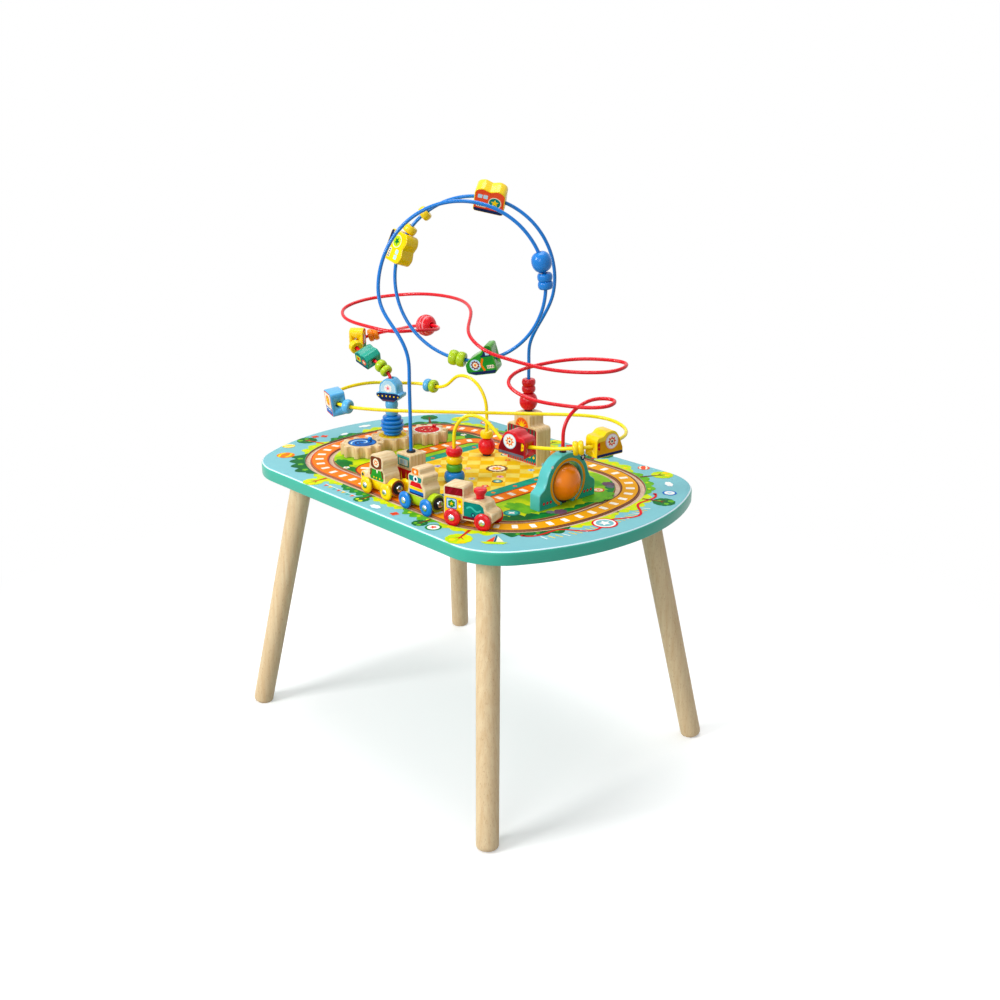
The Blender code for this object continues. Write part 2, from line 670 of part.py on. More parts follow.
def build_wire(name, path, material):
    """Sweeps a round wire along the path with square ends."""
    line = bpy.data.curves.new(name + "_line", "CURVE")
    line.dimensions = "3D"
    line.bevel_depth = wire_radius
    line.bevel_resolution = 1
    line.use_fill_caps = True
    strand = line.splines.new("POLY")
    strand.points.add(len(path) - 1)
    for point, spot in zip(strand.points, path):
        point.co = (*spot, 1)
    rod = bpy.data.objects.new(name + "_line", line)
    bpy.context.scene.collection.objects.link(rod)
    bpy.context.view_layer.update()
    shape = bpy.data.meshes.new_from_object(rod.evaluated_get(bpy.context.evaluated_depsgraph_get()))
    bpy.data.objects.remove(rod, do_unlink=True)
    swept = bmesh.new()
    swept.from_mesh(shape)
    bmesh.ops.remove_doubles(swept, verts=swept.verts, dist=1e-6)
    bpy.data.meshes.remove(shape)
    wire = add_object(name, swept, material)
    return place(wire, Matrix.Identity(4), path[0])


# Outlines of the threaded blocks, in (along the wire, upward)

twin_wave = rounded([
    (-0.0205, 0.0, 0.004), (-0.0205, 0.034, 0.008), (-0.010, 0.038, 0.008), (0.0, 0.0345, 0.003),
    (0.010, 0.038, 0.008), (0.0205, 0.034, 0.008), (0.0205, 0.0, 0.004)], 3)
van_shape = rounded([
    (-0.0215, 0.004, 0.005), (-0.0215, 0.016, 0.005), (-0.016, 0.022, 0.006), (0.004, 0.031, 0.004),
    (0.010, 0.039, 0.003), (0.019, 0.039, 0.003), (0.0215, 0.004, 0.004), (0.018, 0.0, 0.003),
    (-0.010, 0.0, 0.010)], 3)
car_shape = rounded([
    (-0.0210, 0.0, 0.0015), (-0.0210, 0.008, 0.003), (-0.0165, 0.021, 0.008), (-0.010, 0.0325, 0.010),
    (0.004, 0.0325, 0.008), (0.0095, 0.0275, 0.006), (0.0195, 0.0265, 0.005), (0.0210, 0.0, 0.0015)], 3)
snub_shape = rounded([
    (-0.012, 0.0, 0.003), (-0.012, 0.028, 0.006), (0.0, 0.0305, 0.006), (0.012, 0.028, 0.006),
    (0.012, 0.0, 0.003)], 3)
ridge_shape = rounded([
    (-0.014, 0.0, 0.002), (-0.0145, 0.017, 0.003), (-0.0075, 0.0225, 0.004), (0.0, 0.0205, 0.002),
    (0.0075, 0.0225, 0.004), (0.0145, 0.017, 0.003), (0.014, 0.0, 0.002)], 3)
brick_shape = rounded([
    (-0.015, 0.0, 0.003), (-0.015, 0.034, 0.004), (0.015, 0.034, 0.004), (0.015, 0.0, 0.003)], 3)
toward_front_right = Vector((0.731, -0.682, 0.0))


def leaning(direction, degrees):
    """A direction tipped over toward the front right of the table."""
    angle = math.radians(degrees)
    return Vector(direction).normalized() * math.cos(angle) + toward_front_right * math.sin(angle)


# Train

axle_height = wheel_radius - groove_depth + seat_gap
wheel_inner_face = car_thickness / 2 + 0.0015

rear_figure_outline = rounded([
    (-0.0275, 0.0180, 0), (-0.0275, 0.0080, 0), (-0.0365, 0.0080, 0.003), (-0.0385, 0.0190, 0.006),
    (-0.0350, 0.0265, 0.005), (-0.0270, 0.0250, 0.004), (-0.0225, 0.0230, 0.004), (-0.0185, 0.0340, 0.006),
    (-0.0145, 0.0530, 0.006), (0.0030, 0.0555, 0.006), (0.0125, 0.0470, 0.005),
    (0.0095, 0.0370, 0.006), (0.0145, 0.0280, 0.005), (0.0155, 0.0180, 0)], 2)
middle_figure_outline = rounded([
    (-0.0205, 0.0180, 0), (-0.0175, 0.0300, 0.006), (-0.0190, 0.0440, 0.005), (-0.0115, 0.0475, 0.002),
    (-0.0115, 0.0555, 0.004), (0.0045, 0.0555, 0.004), (0.0060, 0.0480, 0.002), (0.0130, 0.0465, 0.003),
    (0.0100, 0.0375, 0.004), (0.0155, 0.0285, 0.005), (0.0145, 0.0180, 0)], 2)
engine_outline = rounded([
    (-0.0350, 0.0065, 0.002), (-0.0350, 0.0490, 0.004), (-0.0065, 0.0490, 0.004),
    (-0.0065, 0.0340, 0.003), (0.0165, 0.0335, 0.005), (0.0225, 0.0300, 0.004),
    (0.0252, 0.0225, 0.003), (0.0320, 0.0190, 0.004), (0.0332, 0.0100, 0.004),
    (0.0295, 0.0065, 0.002)], 2)


def drill_axles(body, seat):
    for end, side in (("rear", -1), ("front", 1)):
        drill = cylinder(f"{body.name}_{end}_axle_cutter", axle_radius + run_gap, -0.03, 0.03, beech, 10)
        lay_down = Matrix.Rotation(math.pi / 2, 4, "X")
        spot = Matrix.Translation((side * wheel_base / 2, 0, axle_height))
        cut(body, place(drill, seat @ spot @ lay_down))


def build_base(name, seat, material, rear_plate):
    """A turned base with a magnet in its front end, a flat for the figure and two axle holes."""
    tip = base_front + magnet_reach
    rear = [(0, -base_rear)]
    if rear_plate:
        rear = [(0, -base_rear - 0.0015), (magnet_radius, -base_rear - 0.0015), (magnet_radius, -base_rear)]
    profile = rear + [
        (base_radius - 0.001, -base_rear), (base_radius, -base_rear + 0.001), (base_radius, base_front - 0.001),
        (base_radius - 0.001, base_front), (magnet_cup_radius, base_front),
        (magnet_cup_radius, base_front + 0.0008), (magnet_radius, base_front + 0.0008),
        (magnet_radius, tip - 0.0008), (magnet_radius - 0.0008, tip), (0, tip)]
    base = turned(name, profile, material, 20)
    lay_down = Matrix.Translation((0, 0, base_centre_height)) @ Matrix.Rotation(math.pi / 2, 4, "Y")
    place(base, seat @ lay_down, seat.translation)
    box = bmesh.new()
    bmesh.ops.create_cube(box, size=1, matrix=Matrix.Translation((-0.0058, 0, base_seat_height + 0.01))
                          @ Matrix.Diagonal((0.0445, 0.04, 0.02, 1)))
    planer = add_object(name + "_flat_cutter", box, material, False)
    cut(base, place(planer, seat))
    drill_axles(base, seat)
    return base


def build_wheels(name, seat, offset, material):
    """Two wheels on one axle, with raised hub caps; the tread narrows to run in a groove."""
    inner = wheel_inner_face
    outer = inner + wheel_thickness
    rim_in = track_gauge / 2 - wheel_rim_width / 2
    rim_out = track_gauge / 2 + wheel_rim_width / 2
    half = [(axle_radius, inner), (wheel_radius - 0.0026, inner), (wheel_radius, rim_in),
            (wheel_radius, rim_out), (wheel_radius - 0.0026, outer), (wheel_hub_radius, outer),
            (wheel_hub_radius * 0.7, outer + wheel_hub_height), (0.0, outer + wheel_hub_height)]
    profile = [(radius, -height) for radius, height in reversed(half)] + half
    wheels = turned(name, profile, material, 14)
    lay_down = Matrix.Rotation(math.pi / 2, 4, "X")
    return place(wheels, seat @ Matrix.Translation((offset, 0, axle_height)) @ lay_down)


# Places worked out from the sizes above

gear_blue_centre = tuple(np.array(gear_centre) + gear_pitch * np.array(
    [math.cos(math.radians(gear_blue_bearing)), math.sin(math.radians(gear_blue_bearing))]))
gear_red_centre = tuple(np.array(gear_centre) + gear_pitch * np.array(
    [math.cos(math.radians(gear_red_bearing)), math.sin(math.radians(gear_red_bearing))]))
yellow_start = yellow_route[0][:2]
yellow_end = yellow_route[-1][:2]
wire_feet = [gear_centre, arch_wire_foot, yellow_start, yellow_end]
leg_places = [("leg_front_left", -1, -1), ("leg_front_right", 1, -1),
              ("leg_back_left", -1, 1), ("leg_back_right", 1, 1)]
socket_floor = top_z - wire_socket_depth + seat_gap

blue_path = bent_wire((*blue_route[0][:2], socket_floor + booth_height), blue_route,
                      (*castle_wire_foot, socket_floor + castle_height), wire_step)
red_path = bent_wire((*gear_centre, socket_floor), red_route, (*arch_wire_foot, socket_floor), wire_step)
yellow_path = bent_wire((*yellow_start, socket_floor), yellow_route, (*yellow_end, socket_floor), wire_step)

corner_centre = Vector((track_length / 2 - track_corner_radius - track_end_bow,
                        -(track_width / 2 - track_corner_radius), 0))


def bend_centre(path, distance, reach):
    """Middle of the wire's bend, about which a bead there runs along the wire."""
    return bend_on(path, distance, reach)[0]


def coil_pivot(distance):
    return bend_centre(blue_path, distance, coil_reach)


def coil_outward(distance):
    return Vector(point_on(blue_path, distance)) - coil_pivot(distance)


def build_everything():
    build_top()
    for name, side_x, side_y in leg_places:
        build_leg(name, side_x, side_y)

    middle_tooth = math.radians(4)
    build_gear("gear_middle", gear_centre, middle_tooth)
    for name, centre, bearing in (("gear_blue", gear_blue_centre, gear_blue_bearing),
                                  ("gear_red", gear_red_centre, gear_red_bearing)):
        tooth = math.radians(2 * bearing + 180 - 180 / gear_teeth) - middle_tooth
        build_gear(name, centre, tooth, 100)

    build_booth()
    build_castle()
    build_arch()
    build_wire("wire_blue", blue_path, blue)
    build_wire("wire_red", red_path, red)
    build_wire("wire_yellow", yellow_path, yellow)
    post_bead("arch_ball", arch_ball_radius, arch_ball_low, arch_ball_high, orange, arch_wire_foot,
              waist=0.06, steps=8, sides=16)

    build_ribbed_bead()
    post_bead("bead_pale_double", 0.0096, ribbed_high, pale_double_high, pale_blue, gear_centre, lobes=2,
              waist=0.7)
    build_saucer()
    for name, radius, low, high, colour in zip(
            ("stack_blue", "stack_green", "stack_yellow", "stack_red"), (0.0141, 0.0112, 0.0112, 0.0114),
            stack_heights, stack_heights[1:], (blue, green, yellow, red)):
        post_bead(name, radius, low, high, colour, yellow_start)
    post_bead("ball_red_end", 0.0125, end_ball_low, end_ball_high, red, yellow_end, waist=0.06, steps=7,
              sides=14)
    post_bead("bead_yellow_end", 0.0096, end_bead_low, end_bead_high, yellow, yellow_end)
    post_bead("ball_red_castle", 0.0130, castle_ball_low, castle_ball_high, red, castle_wire_foot,
              waist=0.06, steps=7, sides=14)
    post_bead("bead_red_double", 0.0098, castle_ball_high, castle_bead_high, red, castle_wire_foot,
              lobes=2, waist=0.66)

    round_bead("bead_lime_lower", 0.0098, 0.0095, lime, red_path, 0.0200)
    round_bead("bead_lime_upper", 0.0098, 0.0095, lime, red_path, 0.0320)
    drilled_block("block_teal", ridge_shape, 0.026, teal, red_path, 0.0610, (0.37, -0.34, 0.85), 0.0105)
    round_bead("bead_yellow_ringed", 0.0100, 0.0105, yellow, red_path, 0.0920, lobes=3, waist=0.75, steps=2,
               pivot=bend_centre(red_path, 0.0920, 0.012))
    drilled_block("block_yellow_short", snub_shape, 0.021, yellow, red_path, 0.1200, (0, 0, 1), 0.012,
                  pivot=bend_centre(red_path, 0.1200, 0.012))
    round_bead("bead_orange_double", 0.0098, 0.016, orange, red_path, 0.1615, lobes=2,
               pivot=bend_centre(red_path, 0.1615, 0.016))
    round_bead("ball_red_striped", 0.0155, 0.028, red, red_path, 0.3110, waist=0.06, steps=7, sides=14,
               pivot=bend_centre(red_path, 0.3110, 0.016))

    for name, radius, length, distance, lobes, colour in (
            ("ball_blue", 0.0132, 0.0255, 0.4400, 1, blue),
            ("bead_blue_double", 0.0100, 0.0205, 0.4652, 2, blue),
            ("bead_lime_double", 0.0105, 0.0225, 0.6560, 2, lime),
            ("bead_yellow_coil_lower", 0.0098, 0.0105, 0.8740, 1, yellow),
            ("bead_yellow_coil_upper", 0.0098, 0.0105, 0.9030, 1, yellow)):
        ball = lobes == 1 and length > 0.02
        round_bead(name, radius, length, colour, blue_path, distance, lobes, 0.06 if ball else 0.62,
                   7 if ball else 3, 14 if ball else 12, pivot=coil_pivot(distance))
    for name, outline, thickness, colour, distance, side, lean, bore, flip in (
            ("block_green", van_shape, 0.024, green, 0.6200, -1, 6, 0.018, -1),
            ("block_yellow_coil", twin_wave, 0.021, yellow, 0.8460, -1, 42, 0.018, 1),
            ("block_coil_top", twin_wave, 0.021, yellow, 0.9960, 1, 32, 0.016, 1)):
        drilled_block(name, outline, thickness, colour, blue_path, distance,
                      leaning(coil_outward(distance) * side, lean), bore,
                      pivot=coil_pivot(distance), flip=flip)

    drilled_block("block_red_car", car_shape, 0.024, red, yellow_path, 0.1260, (0, 0, 1), 0.013,
                  pivot=bend_centre(yellow_path, 0.1260, 0.030))
    round_bead("bead_yellow_bow", 0.0095, 0.014, yellow, yellow_path, 0.2175, lobes=2,
               pivot=bend_centre(yellow_path, 0.2175, 0.012))
    drilled_block("block_yellow_car", car_shape, 0.024, yellow, yellow_path, 0.2535, (0, 0, 1), 0.013,
                  pivot=bend_centre(yellow_path, 0.2535, 0.030), flip=-1)
    round_bead("bead_blue_single", 0.0102, 0.010, pale_blue, yellow_path, 0.7290,
               pivot=bend_centre(yellow_path, 0.7290, 0.020))
    drilled_block("block_pale_blue", brick_shape, 0.021, pale_blue, yellow_path, 0.7600, (0.05, -0.15, 1), 0.017,
                  pivot=bend_centre(yellow_path, 0.7600, 0.030))
    round_bead("bead_pale_single", 0.0098, 0.009, pale_blue, yellow_path, 0.9740)
    round_bead("bead_lime_single", 0.0098, 0.009, lime, yellow_path, 0.9840,
               pivot=bend_centre(yellow_path, 0.9840, 0.016))

    straight = -track_width / 2
    rear_seat = Matrix.Translation((rear_car_x, straight, top_z))
    middle_seat = Matrix.Translation((rear_car_x + car_pitch, straight, top_z))
    heading = math.radians(engine_corner_angle)
    reach = math.sqrt(track_corner_radius ** 2 - (wheel_base / 2) ** 2)
    engine_seat = (Matrix.Translation((corner_centre.x, corner_centre.y, top_z))
                   @ Matrix.Rotation(heading, 4, "Z") @ Matrix.Translation((0, -reach, 0)))
    build_base("rear_car_base", rear_seat, yellow, False)
    build_base("middle_car_base", middle_seat, lime, True)
    place(prism("rear_car_figure", rear_figure_outline, car_thickness, beech), rear_seat)
    place(prism("middle_car_figure", middle_figure_outline, car_thickness, beech), middle_seat)
    engine = prism("engine_body", engine_outline, car_thickness, beech)
    place(engine, engine_seat, (corner_centre.x, corner_centre.y, top_z))
    drill_axles(engine, engine_seat)
    for car, seat, colour in (("rear_car", rear_seat, yellow), ("middle_car", middle_seat, blue),
                              ("engine", engine_seat, red)):
        for end, side in (("rear", -1), ("front", 1)):
            build_wheels(f"wheels_{car}_{end}", seat, side * wheel_base / 2, colour)
    build_chimney(engine, engine_seat)


def build_ribbed_bead():
    """A turned bead with five ribs, widest at its middle."""
    low, high = ribbed_low + seat_gap, ribbed_high
    bore = wire_radius + run_gap
    pitch = (high - low) / 5
    profile = [(bore, low)]
    for rib, radius in enumerate((0.0132, 0.0162, 0.0177, 0.0168, 0.0142)):
        valley = radius - 0.0028
        base = low + rib * pitch
        profile += [(valley, base + pitch * 0.04), (radius, base + pitch * 0.32),
                    (radius, base + pitch * 0.68), (valley, base + pitch * 0.96)]
    profile.append((bore, high))
    bead = turned("bead_ribbed_blue", profile, blue, 14)
    place(bead, Matrix.Translation((*gear_centre, top_z)))


def build_saucer():
    """A flying saucer sawn from board, drilled upright for the wire."""
    outline = rounded([
        (-0.0095, 0.0, 0.002), (-0.0205, 0.0085, 0.004), (-0.0195, 0.0130, 0.0015),
        (-0.0150, 0.0125, 0.002), (-0.0140, 0.026, 0.010), (-0.0050, 0.0343, 0.008),
        (0.0050, 0.0343, 0.008), (0.0140, 0.026, 0.010), (0.0150, 0.0125, 0.002),
        (0.0195, 0.0130, 0.0015), (0.0205, 0.0085, 0.004), (0.0095, 0.0, 0.002)], 2)
    saucer = prism("saucer_block", outline, 0.020, pale_blue)
    seat = Matrix.Translation((*gear_centre, top_z + pale_double_high + seat_gap)) @ Matrix.Rotation(
        math.radians(24), 4, "Z")
    drill = cylinder("saucer_wire_cutter", block_bore_radius, -0.01, 0.05, pale_blue, 12)
    cut(place(saucer, seat), place(drill, seat))


def build_chimney(engine, seat):
    """A turned chimney with a peg that is let into the boiler."""
    top = 0.0335 + seat_gap
    chimney = turned("engine_chimney", [
        (0, top - 0.006), (0.0024, top - 0.006), (0.0024, top), (chimney_foot_radius, top),
        (chimney_foot_radius + 0.0008, top + 0.006), (chimney_top_radius, top + 0.0085),
        (chimney_top_radius, top + chimney_height - 0.001), (chimney_top_radius - 0.001, top + chimney_height),
        (0, top + chimney_height)], red, 14)
    peg_hole = cylinder("chimney_hole_cutter", 0.0024 + seat_gap, top - 0.0065, 0.05, red, 12)
    spot = seat @ Matrix.Translation((0.0095, 0, 0))
    cut(engine, place(peg_hole, spot))
    place(chimney, spot)


clear_scene()
build_everything()
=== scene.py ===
import math

import bpy
import numpy as np
from mathutils import Matrix, Vector


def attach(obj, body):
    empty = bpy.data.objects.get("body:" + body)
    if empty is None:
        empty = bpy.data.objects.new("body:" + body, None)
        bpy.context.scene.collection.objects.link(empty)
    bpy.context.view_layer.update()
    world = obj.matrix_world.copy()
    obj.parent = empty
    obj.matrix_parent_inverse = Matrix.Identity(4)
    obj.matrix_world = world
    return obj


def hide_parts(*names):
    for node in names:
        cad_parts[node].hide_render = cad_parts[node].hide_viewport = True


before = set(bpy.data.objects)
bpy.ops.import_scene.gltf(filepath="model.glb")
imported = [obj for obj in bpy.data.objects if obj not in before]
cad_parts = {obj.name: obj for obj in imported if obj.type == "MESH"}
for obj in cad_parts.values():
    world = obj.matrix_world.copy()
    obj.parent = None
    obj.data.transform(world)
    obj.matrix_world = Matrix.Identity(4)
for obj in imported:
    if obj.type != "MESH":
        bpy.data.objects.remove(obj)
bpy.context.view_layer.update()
topZ = 0.389
layDown = Matrix.Rotation(math.pi / 2, 4, "Y")       # a turned piece's axis onto the wire or the car
sideways = Matrix.Rotation(math.pi / 2, 4, "X")      # its axis across the car
print("frame loaded:", len(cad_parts), "pieces")


def addObject(name, data):
    # an object with its data, linked to the scene
    thing = bpy.data.objects.new(name, data)
    bpy.context.scene.collection.objects.link(thing)
    return thing


def linear(hexText):
    # sRGB hex to linear colour
    values = np.array([int(hexText[i:i + 2], 16) / 255 for i in (0, 2, 4)])
    values = np.where(values <= 0.04045, values / 12.92, ((values + 0.055) / 1.055) ** 2.4)
    return (*values.tolist(), 1.0)


def addNode(tree, kind, settings=None, links=None):
    # settings: properties or input values by name; links: input name to (node, output name)
    node = tree.nodes.new(kind)
    for key, value in (settings or {}).items():
        if isinstance(key, str) and hasattr(node, key):
            setattr(node, key, value)
        else:
            node.inputs[key].default_value = value
    for key, (source, output) in (links or {}).items():
        tree.links.new(source.outputs[output], node.inputs[key])
    return node


def startMaterial(name, roughness, coat=0.0, coatRoughness=0.1, metallic=0.0, shine=0.3):
    # an empty material with a shader; returns it with its tree, shader and coordinates
    material = bpy.data.materials.new(name)
    material.use_nodes = True
    tree = material.node_tree
    shader = tree.nodes["Principled BSDF"]
    shader.inputs["Roughness"].default_value = roughness
    shader.inputs["Specular IOR Level"].default_value = 0.5 if metallic else shine
    shader.inputs["Coat Weight"].default_value = coat
    shader.inputs["Coat Roughness"].default_value = coatRoughness
    shader.inputs["Metallic"].default_value = metallic
    place = addNode(tree, "ShaderNodeTexCoord")
    return material, tree, shader, place


def addBump(tree, shader, source, output, strength, depth):
    # a slight relief of a given strength, its depth in metres
    bump = addNode(tree, "ShaderNodeBump", {"Strength": strength, "Distance": depth},
                   {"Height": (source, output)})
    tree.links.new(bump.outputs["Normal"], shader.inputs["Normal"])
    return bump


def glossPaint(name, colour, roughness=0.22, coat=0.1, shift=0.08, grain=0.08):
    # sprayed water-based enamel on turned beech: a clear gloss over slight mottling,
    # with the wood's pores faintly telegraphing through
    material, tree, shader, place = startMaterial(name, roughness, coat, 0.08)
    base = linear(colour)
    dark = tuple(c * (1 - shift) for c in base[:3]) + (1.0,)
    mottle = addNode(tree, "ShaderNodeTexNoise", {"Scale": 90.0, "Detail": 3.0},
                     {"Vector": (place, "Object")})
    ramp = addNode(tree, "ShaderNodeMix", {"data_type": "RGBA", 6: dark, 7: base},
                   {"Factor": (mottle, "Fac")})
    tree.links.new(ramp.outputs[2], shader.inputs["Base Color"])
    pores = addNode(tree, "ShaderNodeTexNoise", {"Scale": 1400.0, "Detail": 2.0},
                    {"Vector": (place, "Object")})
    if grain:
        addBump(tree, shader, pores, "Fac", grain, 0.00006)
    return material


def printInk(name, colour, second, scale=60.0, roughness=0.48):
    # screen-printed ink, matt so that its colour stays deep at a low angle: two tones in soft patches
    material, tree, shader, place = startMaterial(name, roughness, shine=0.05)
    patches = addNode(tree, "ShaderNodeTexNoise", {"Scale": scale, "Detail": 4.0, "Roughness": 0.6},
                      {"Vector": (place, "Object")})
    sharpen = addNode(tree, "ShaderNodeMapRange", {"From Min": 0.38, "From Max": 0.62},
                      {"Value": (patches, "Fac")})
    tones = addNode(tree, "ShaderNodeMix", {"data_type": "RGBA", 6: linear(colour), 7: linear(second)},
                    {"Factor": (sharpen, "Result")})
    tree.links.new(tones.outputs[2], shader.inputs["Base Color"])
    addBump(tree, shader, patches, "Fac", 0.05, 0.0001)
    return material


def beechWood(name, pale, dark, along=(0, 0, 1), grainWidth=0.0016, roughness=0.48):
    # solid beech, sanded and satin varnished: faint straight grain about 1.6 mm apart,
    # short darker flecks and a slow drift of tone from plank to plank
    material, tree, shader, place = startMaterial(name, roughness, 0.05, 0.3)
    spread = [1 / grainWidth * (0.06 if abs(a) > 0.5 else 1.0) for a in along]
    stretch = addNode(tree, "ShaderNodeMapping", {"Scale": spread}, {"Vector": (place, "Object")})
    lines = addNode(tree, "ShaderNodeTexNoise", {"Scale": 0.55, "Detail": 5.0, "Roughness": 0.62},
                    {"Vector": (stretch, "Vector")})
    drift = addNode(tree, "ShaderNodeTexNoise", {"Scale": 9.0, "Detail": 2.0},
                    {"Vector": (place, "Object")})
    fleckSpread = [1 / 0.0009 * (0.16 if abs(a) > 0.5 else 1.0) for a in along]
    fleckMap = addNode(tree, "ShaderNodeMapping", {"Scale": fleckSpread}, {"Vector": (place, "Object")})
    flecks = addNode(tree, "ShaderNodeTexNoise", {"Scale": 1.0, "Detail": 1.0},
                     {"Vector": (fleckMap, "Vector")})
    fleckMask = addNode(tree, "ShaderNodeMapRange", {"From Min": 0.62, "From Max": 0.72,
                                                     "To Min": 0.0, "To Max": 0.45},
                        {"Value": (flecks, "Fac")})
    grainMask = addNode(tree, "ShaderNodeMapRange", {"From Min": 0.36, "From Max": 0.66},
                        {"Value": (lines, "Fac")})
    tone = addNode(tree, "ShaderNodeMix", {"data_type": "RGBA", 6: linear(pale), 7: linear(dark)},
                   {"Factor": (grainMask, "Result")})
    soft = addNode(tree, "ShaderNodeMix", {"data_type": "RGBA", "blend_type": "MULTIPLY", 0: 0.35},
                   {6: (tone, 2), 7: (drift, "Fac")})
    lift = addNode(tree, "ShaderNodeMix", {"data_type": "RGBA", 0: 0.55}, {6: (soft, 2), 7: (tone, 2)})
    fleck = addNode(tree, "ShaderNodeMix", {"data_type": "RGBA", 7: linear("B98A5C")},
                    {0: (fleckMask, "Result"), 6: (lift, 2)})
    tree.links.new(fleck.outputs[2], shader.inputs["Base Color"])
    addBump(tree, shader, lines, "Fac", 0.12, 0.0002)
    return material


def gridMesh(name, grid, material, body, closed=False, slots=None, sharp=40, bores=(), capSlots=None):
    # a surface from rows of points, each row a closed ring; closed joins the last row to the first,
    # otherwise a flat face closes both ends; slots gives each band of rows its material;
    # bores: round holes, each (matrix, radius, low, high, material) along the matrix's own Z
    grid = np.asarray(grid, float)
    rows, columns = grid.shape[:2]
    a, b = np.meshgrid(np.arange(rows if closed else rows - 1), np.arange(columns), indexing="ij")
    nextA, nextB = (a + 1) % rows, (b + 1) % columns
    faces = np.stack([a * columns + b, a * columns + nextB, nextA * columns + nextB,
                      nextA * columns + b], axis=-1).reshape(-1, 4).tolist()
    caps = 0 if closed else 2
    if caps:
        faces += [list(range(columns))[::-1], list(range((rows - 1) * columns, rows * columns))]
    mesh = bpy.data.meshes.new(name)
    mesh.from_pydata(grid.reshape(-1, 3).tolist(), [], faces)
    for one in material if isinstance(material, list) else [material]:
        mesh.materials.append(one)
    if slots is not None:
        index = np.append(np.repeat(slots, columns), (capSlots or (slots[0], slots[-1]))[:caps])
        mesh.polygons.foreach_set("material_index", index.astype(int))
    mesh.validate()
    mesh.shade_smooth()
    mesh.set_sharp_from_angle(angle=math.radians(sharp))
    for index in range(len(mesh.polygons) - caps, len(mesh.polygons)):
        mesh.polygons[index].use_smooth = False
    piece = addObject(name, mesh)
    if bores:
        drill(piece, bores)
    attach(piece, body)
    return piece


def standFor(piece, node):
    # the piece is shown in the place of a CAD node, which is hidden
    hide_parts(node)
    return piece


drillSides = 28


def drill(piece, bores):
    # cuts each hole with a boolean and keeps the result as a plain mesh
    bits = []
    for matrix, radius, low, high, material in bores:
        grid = latheGrid([(radius, low), (radius, high)], drillSides, matrix)
        faces = [[b, (b + 1) % drillSides, drillSides + (b + 1) % drillSides, drillSides + b]
                 for b in range(drillSides)]
        faces += [list(range(drillSides))[::-1], list(range(drillSides, 2 * drillSides))]
        bit = bpy.data.meshes.new("bit")
        bit.from_pydata(grid.reshape(-1, 3).tolist(), [], faces)
        bit.materials.append(material)
        for face in bit.polygons[:drillSides]:
            face.use_smooth = True
        cutter = addObject("bit", bit)
        step = piece.modifiers.new("bore", "BOOLEAN")
        step.operation, step.solver, step.object = "DIFFERENCE", "EXACT", cutter
        step.material_mode = "TRANSFER"
        bits.append(cutter)
    bpy.context.view_layer.update()
    result = bpy.data.meshes.new_from_object(piece.evaluated_get(bpy.context.evaluated_depsgraph_get()))
    piece.modifiers.clear()
    piece.data = result
    for cutter in bits:
        bpy.data.objects.remove(cutter, do_unlink=True)


def moved(points, matrix):
    # applies a matrix to an array of points
    m = np.array(matrix)
    return np.asarray(points) @ m[:3, :3].T + m[:3, 3]


def latheGrid(profile, sides, matrix):
    # profile (radius, height) spun about Z: x = r cos t, y = r sin t, z = h
    profile = np.asarray(profile, float)
    ring = onCircle(np.linspace(0, math.tau, sides, endpoint=False))
    spun = np.concatenate([profile[:, None, :1] * ring[None],
                           np.repeat(profile[:, None, 1:], sides, axis=1)], axis=-1)
    return moved(spun, matrix)


def latheClosed(name, profile, matrix, material, body, sides=40, slots=None):
    # a ring-shaped turned piece: its profile is a closed outline away from the axis
    return gridMesh(name, latheGrid(profile, sides, matrix), material, body, closed=True,
                    slots=slots)


def latheSolid(name, profile, matrix, material, body, sides=40, slots=None, sharp=40):
    # a turned piece that is closed by a small flat at both ends of its profile
    return gridMesh(name, latheGrid(profile, sides, matrix), material, body, slots=slots, sharp=sharp)


def onCircle(turn):
    # (cos t, sin t) for each angle
    return np.stack([np.cos(turn), np.sin(turn)], axis=-1)


def spin(angle):
    # turns (x, y) rows anticlockwise when they are multiplied by it from the left
    return np.array([[math.cos(angle), math.sin(angle)], [-math.sin(angle), math.cos(angle)]])


def turnOf(outline):
    # twice the signed area of a closed outline: above zero where it runs anticlockwise
    return np.sum(outline[:, 0] * np.roll(outline[:, 1], -1) - outline[:, 1] * np.roll(outline[:, 0], -1))


def marksAlong(path):
    # the distance travelled at each point of a path
    return np.concatenate([[0], np.cumsum(np.linalg.norm(np.diff(path, axis=0), axis=1))])


def readOff(distance, marks, path):
    # a path's points at distances along it, straight between its marks
    return np.stack([np.interp(distance, marks, column) for column in path.T], axis=-1)


def insetOutline(outline, depth):
    # moves each corner of a closed outline inward along the mean of its two side normals
    outline = np.asarray(outline, float)
    before = outline - np.roll(outline, 1, axis=0)
    after = np.roll(outline, -1, axis=0) - outline
    normalOf = lambda d: np.stack([-d[:, 1], d[:, 0]], axis=-1) / np.linalg.norm(d, axis=1)[:, None]
    first, second = normalOf(before), normalOf(after)
    middle = first + second
    middle /= np.maximum(np.sum(middle * first, axis=1), 0.4)[:, None]
    return outline + middle * depth * np.sign(turnOf(outline))


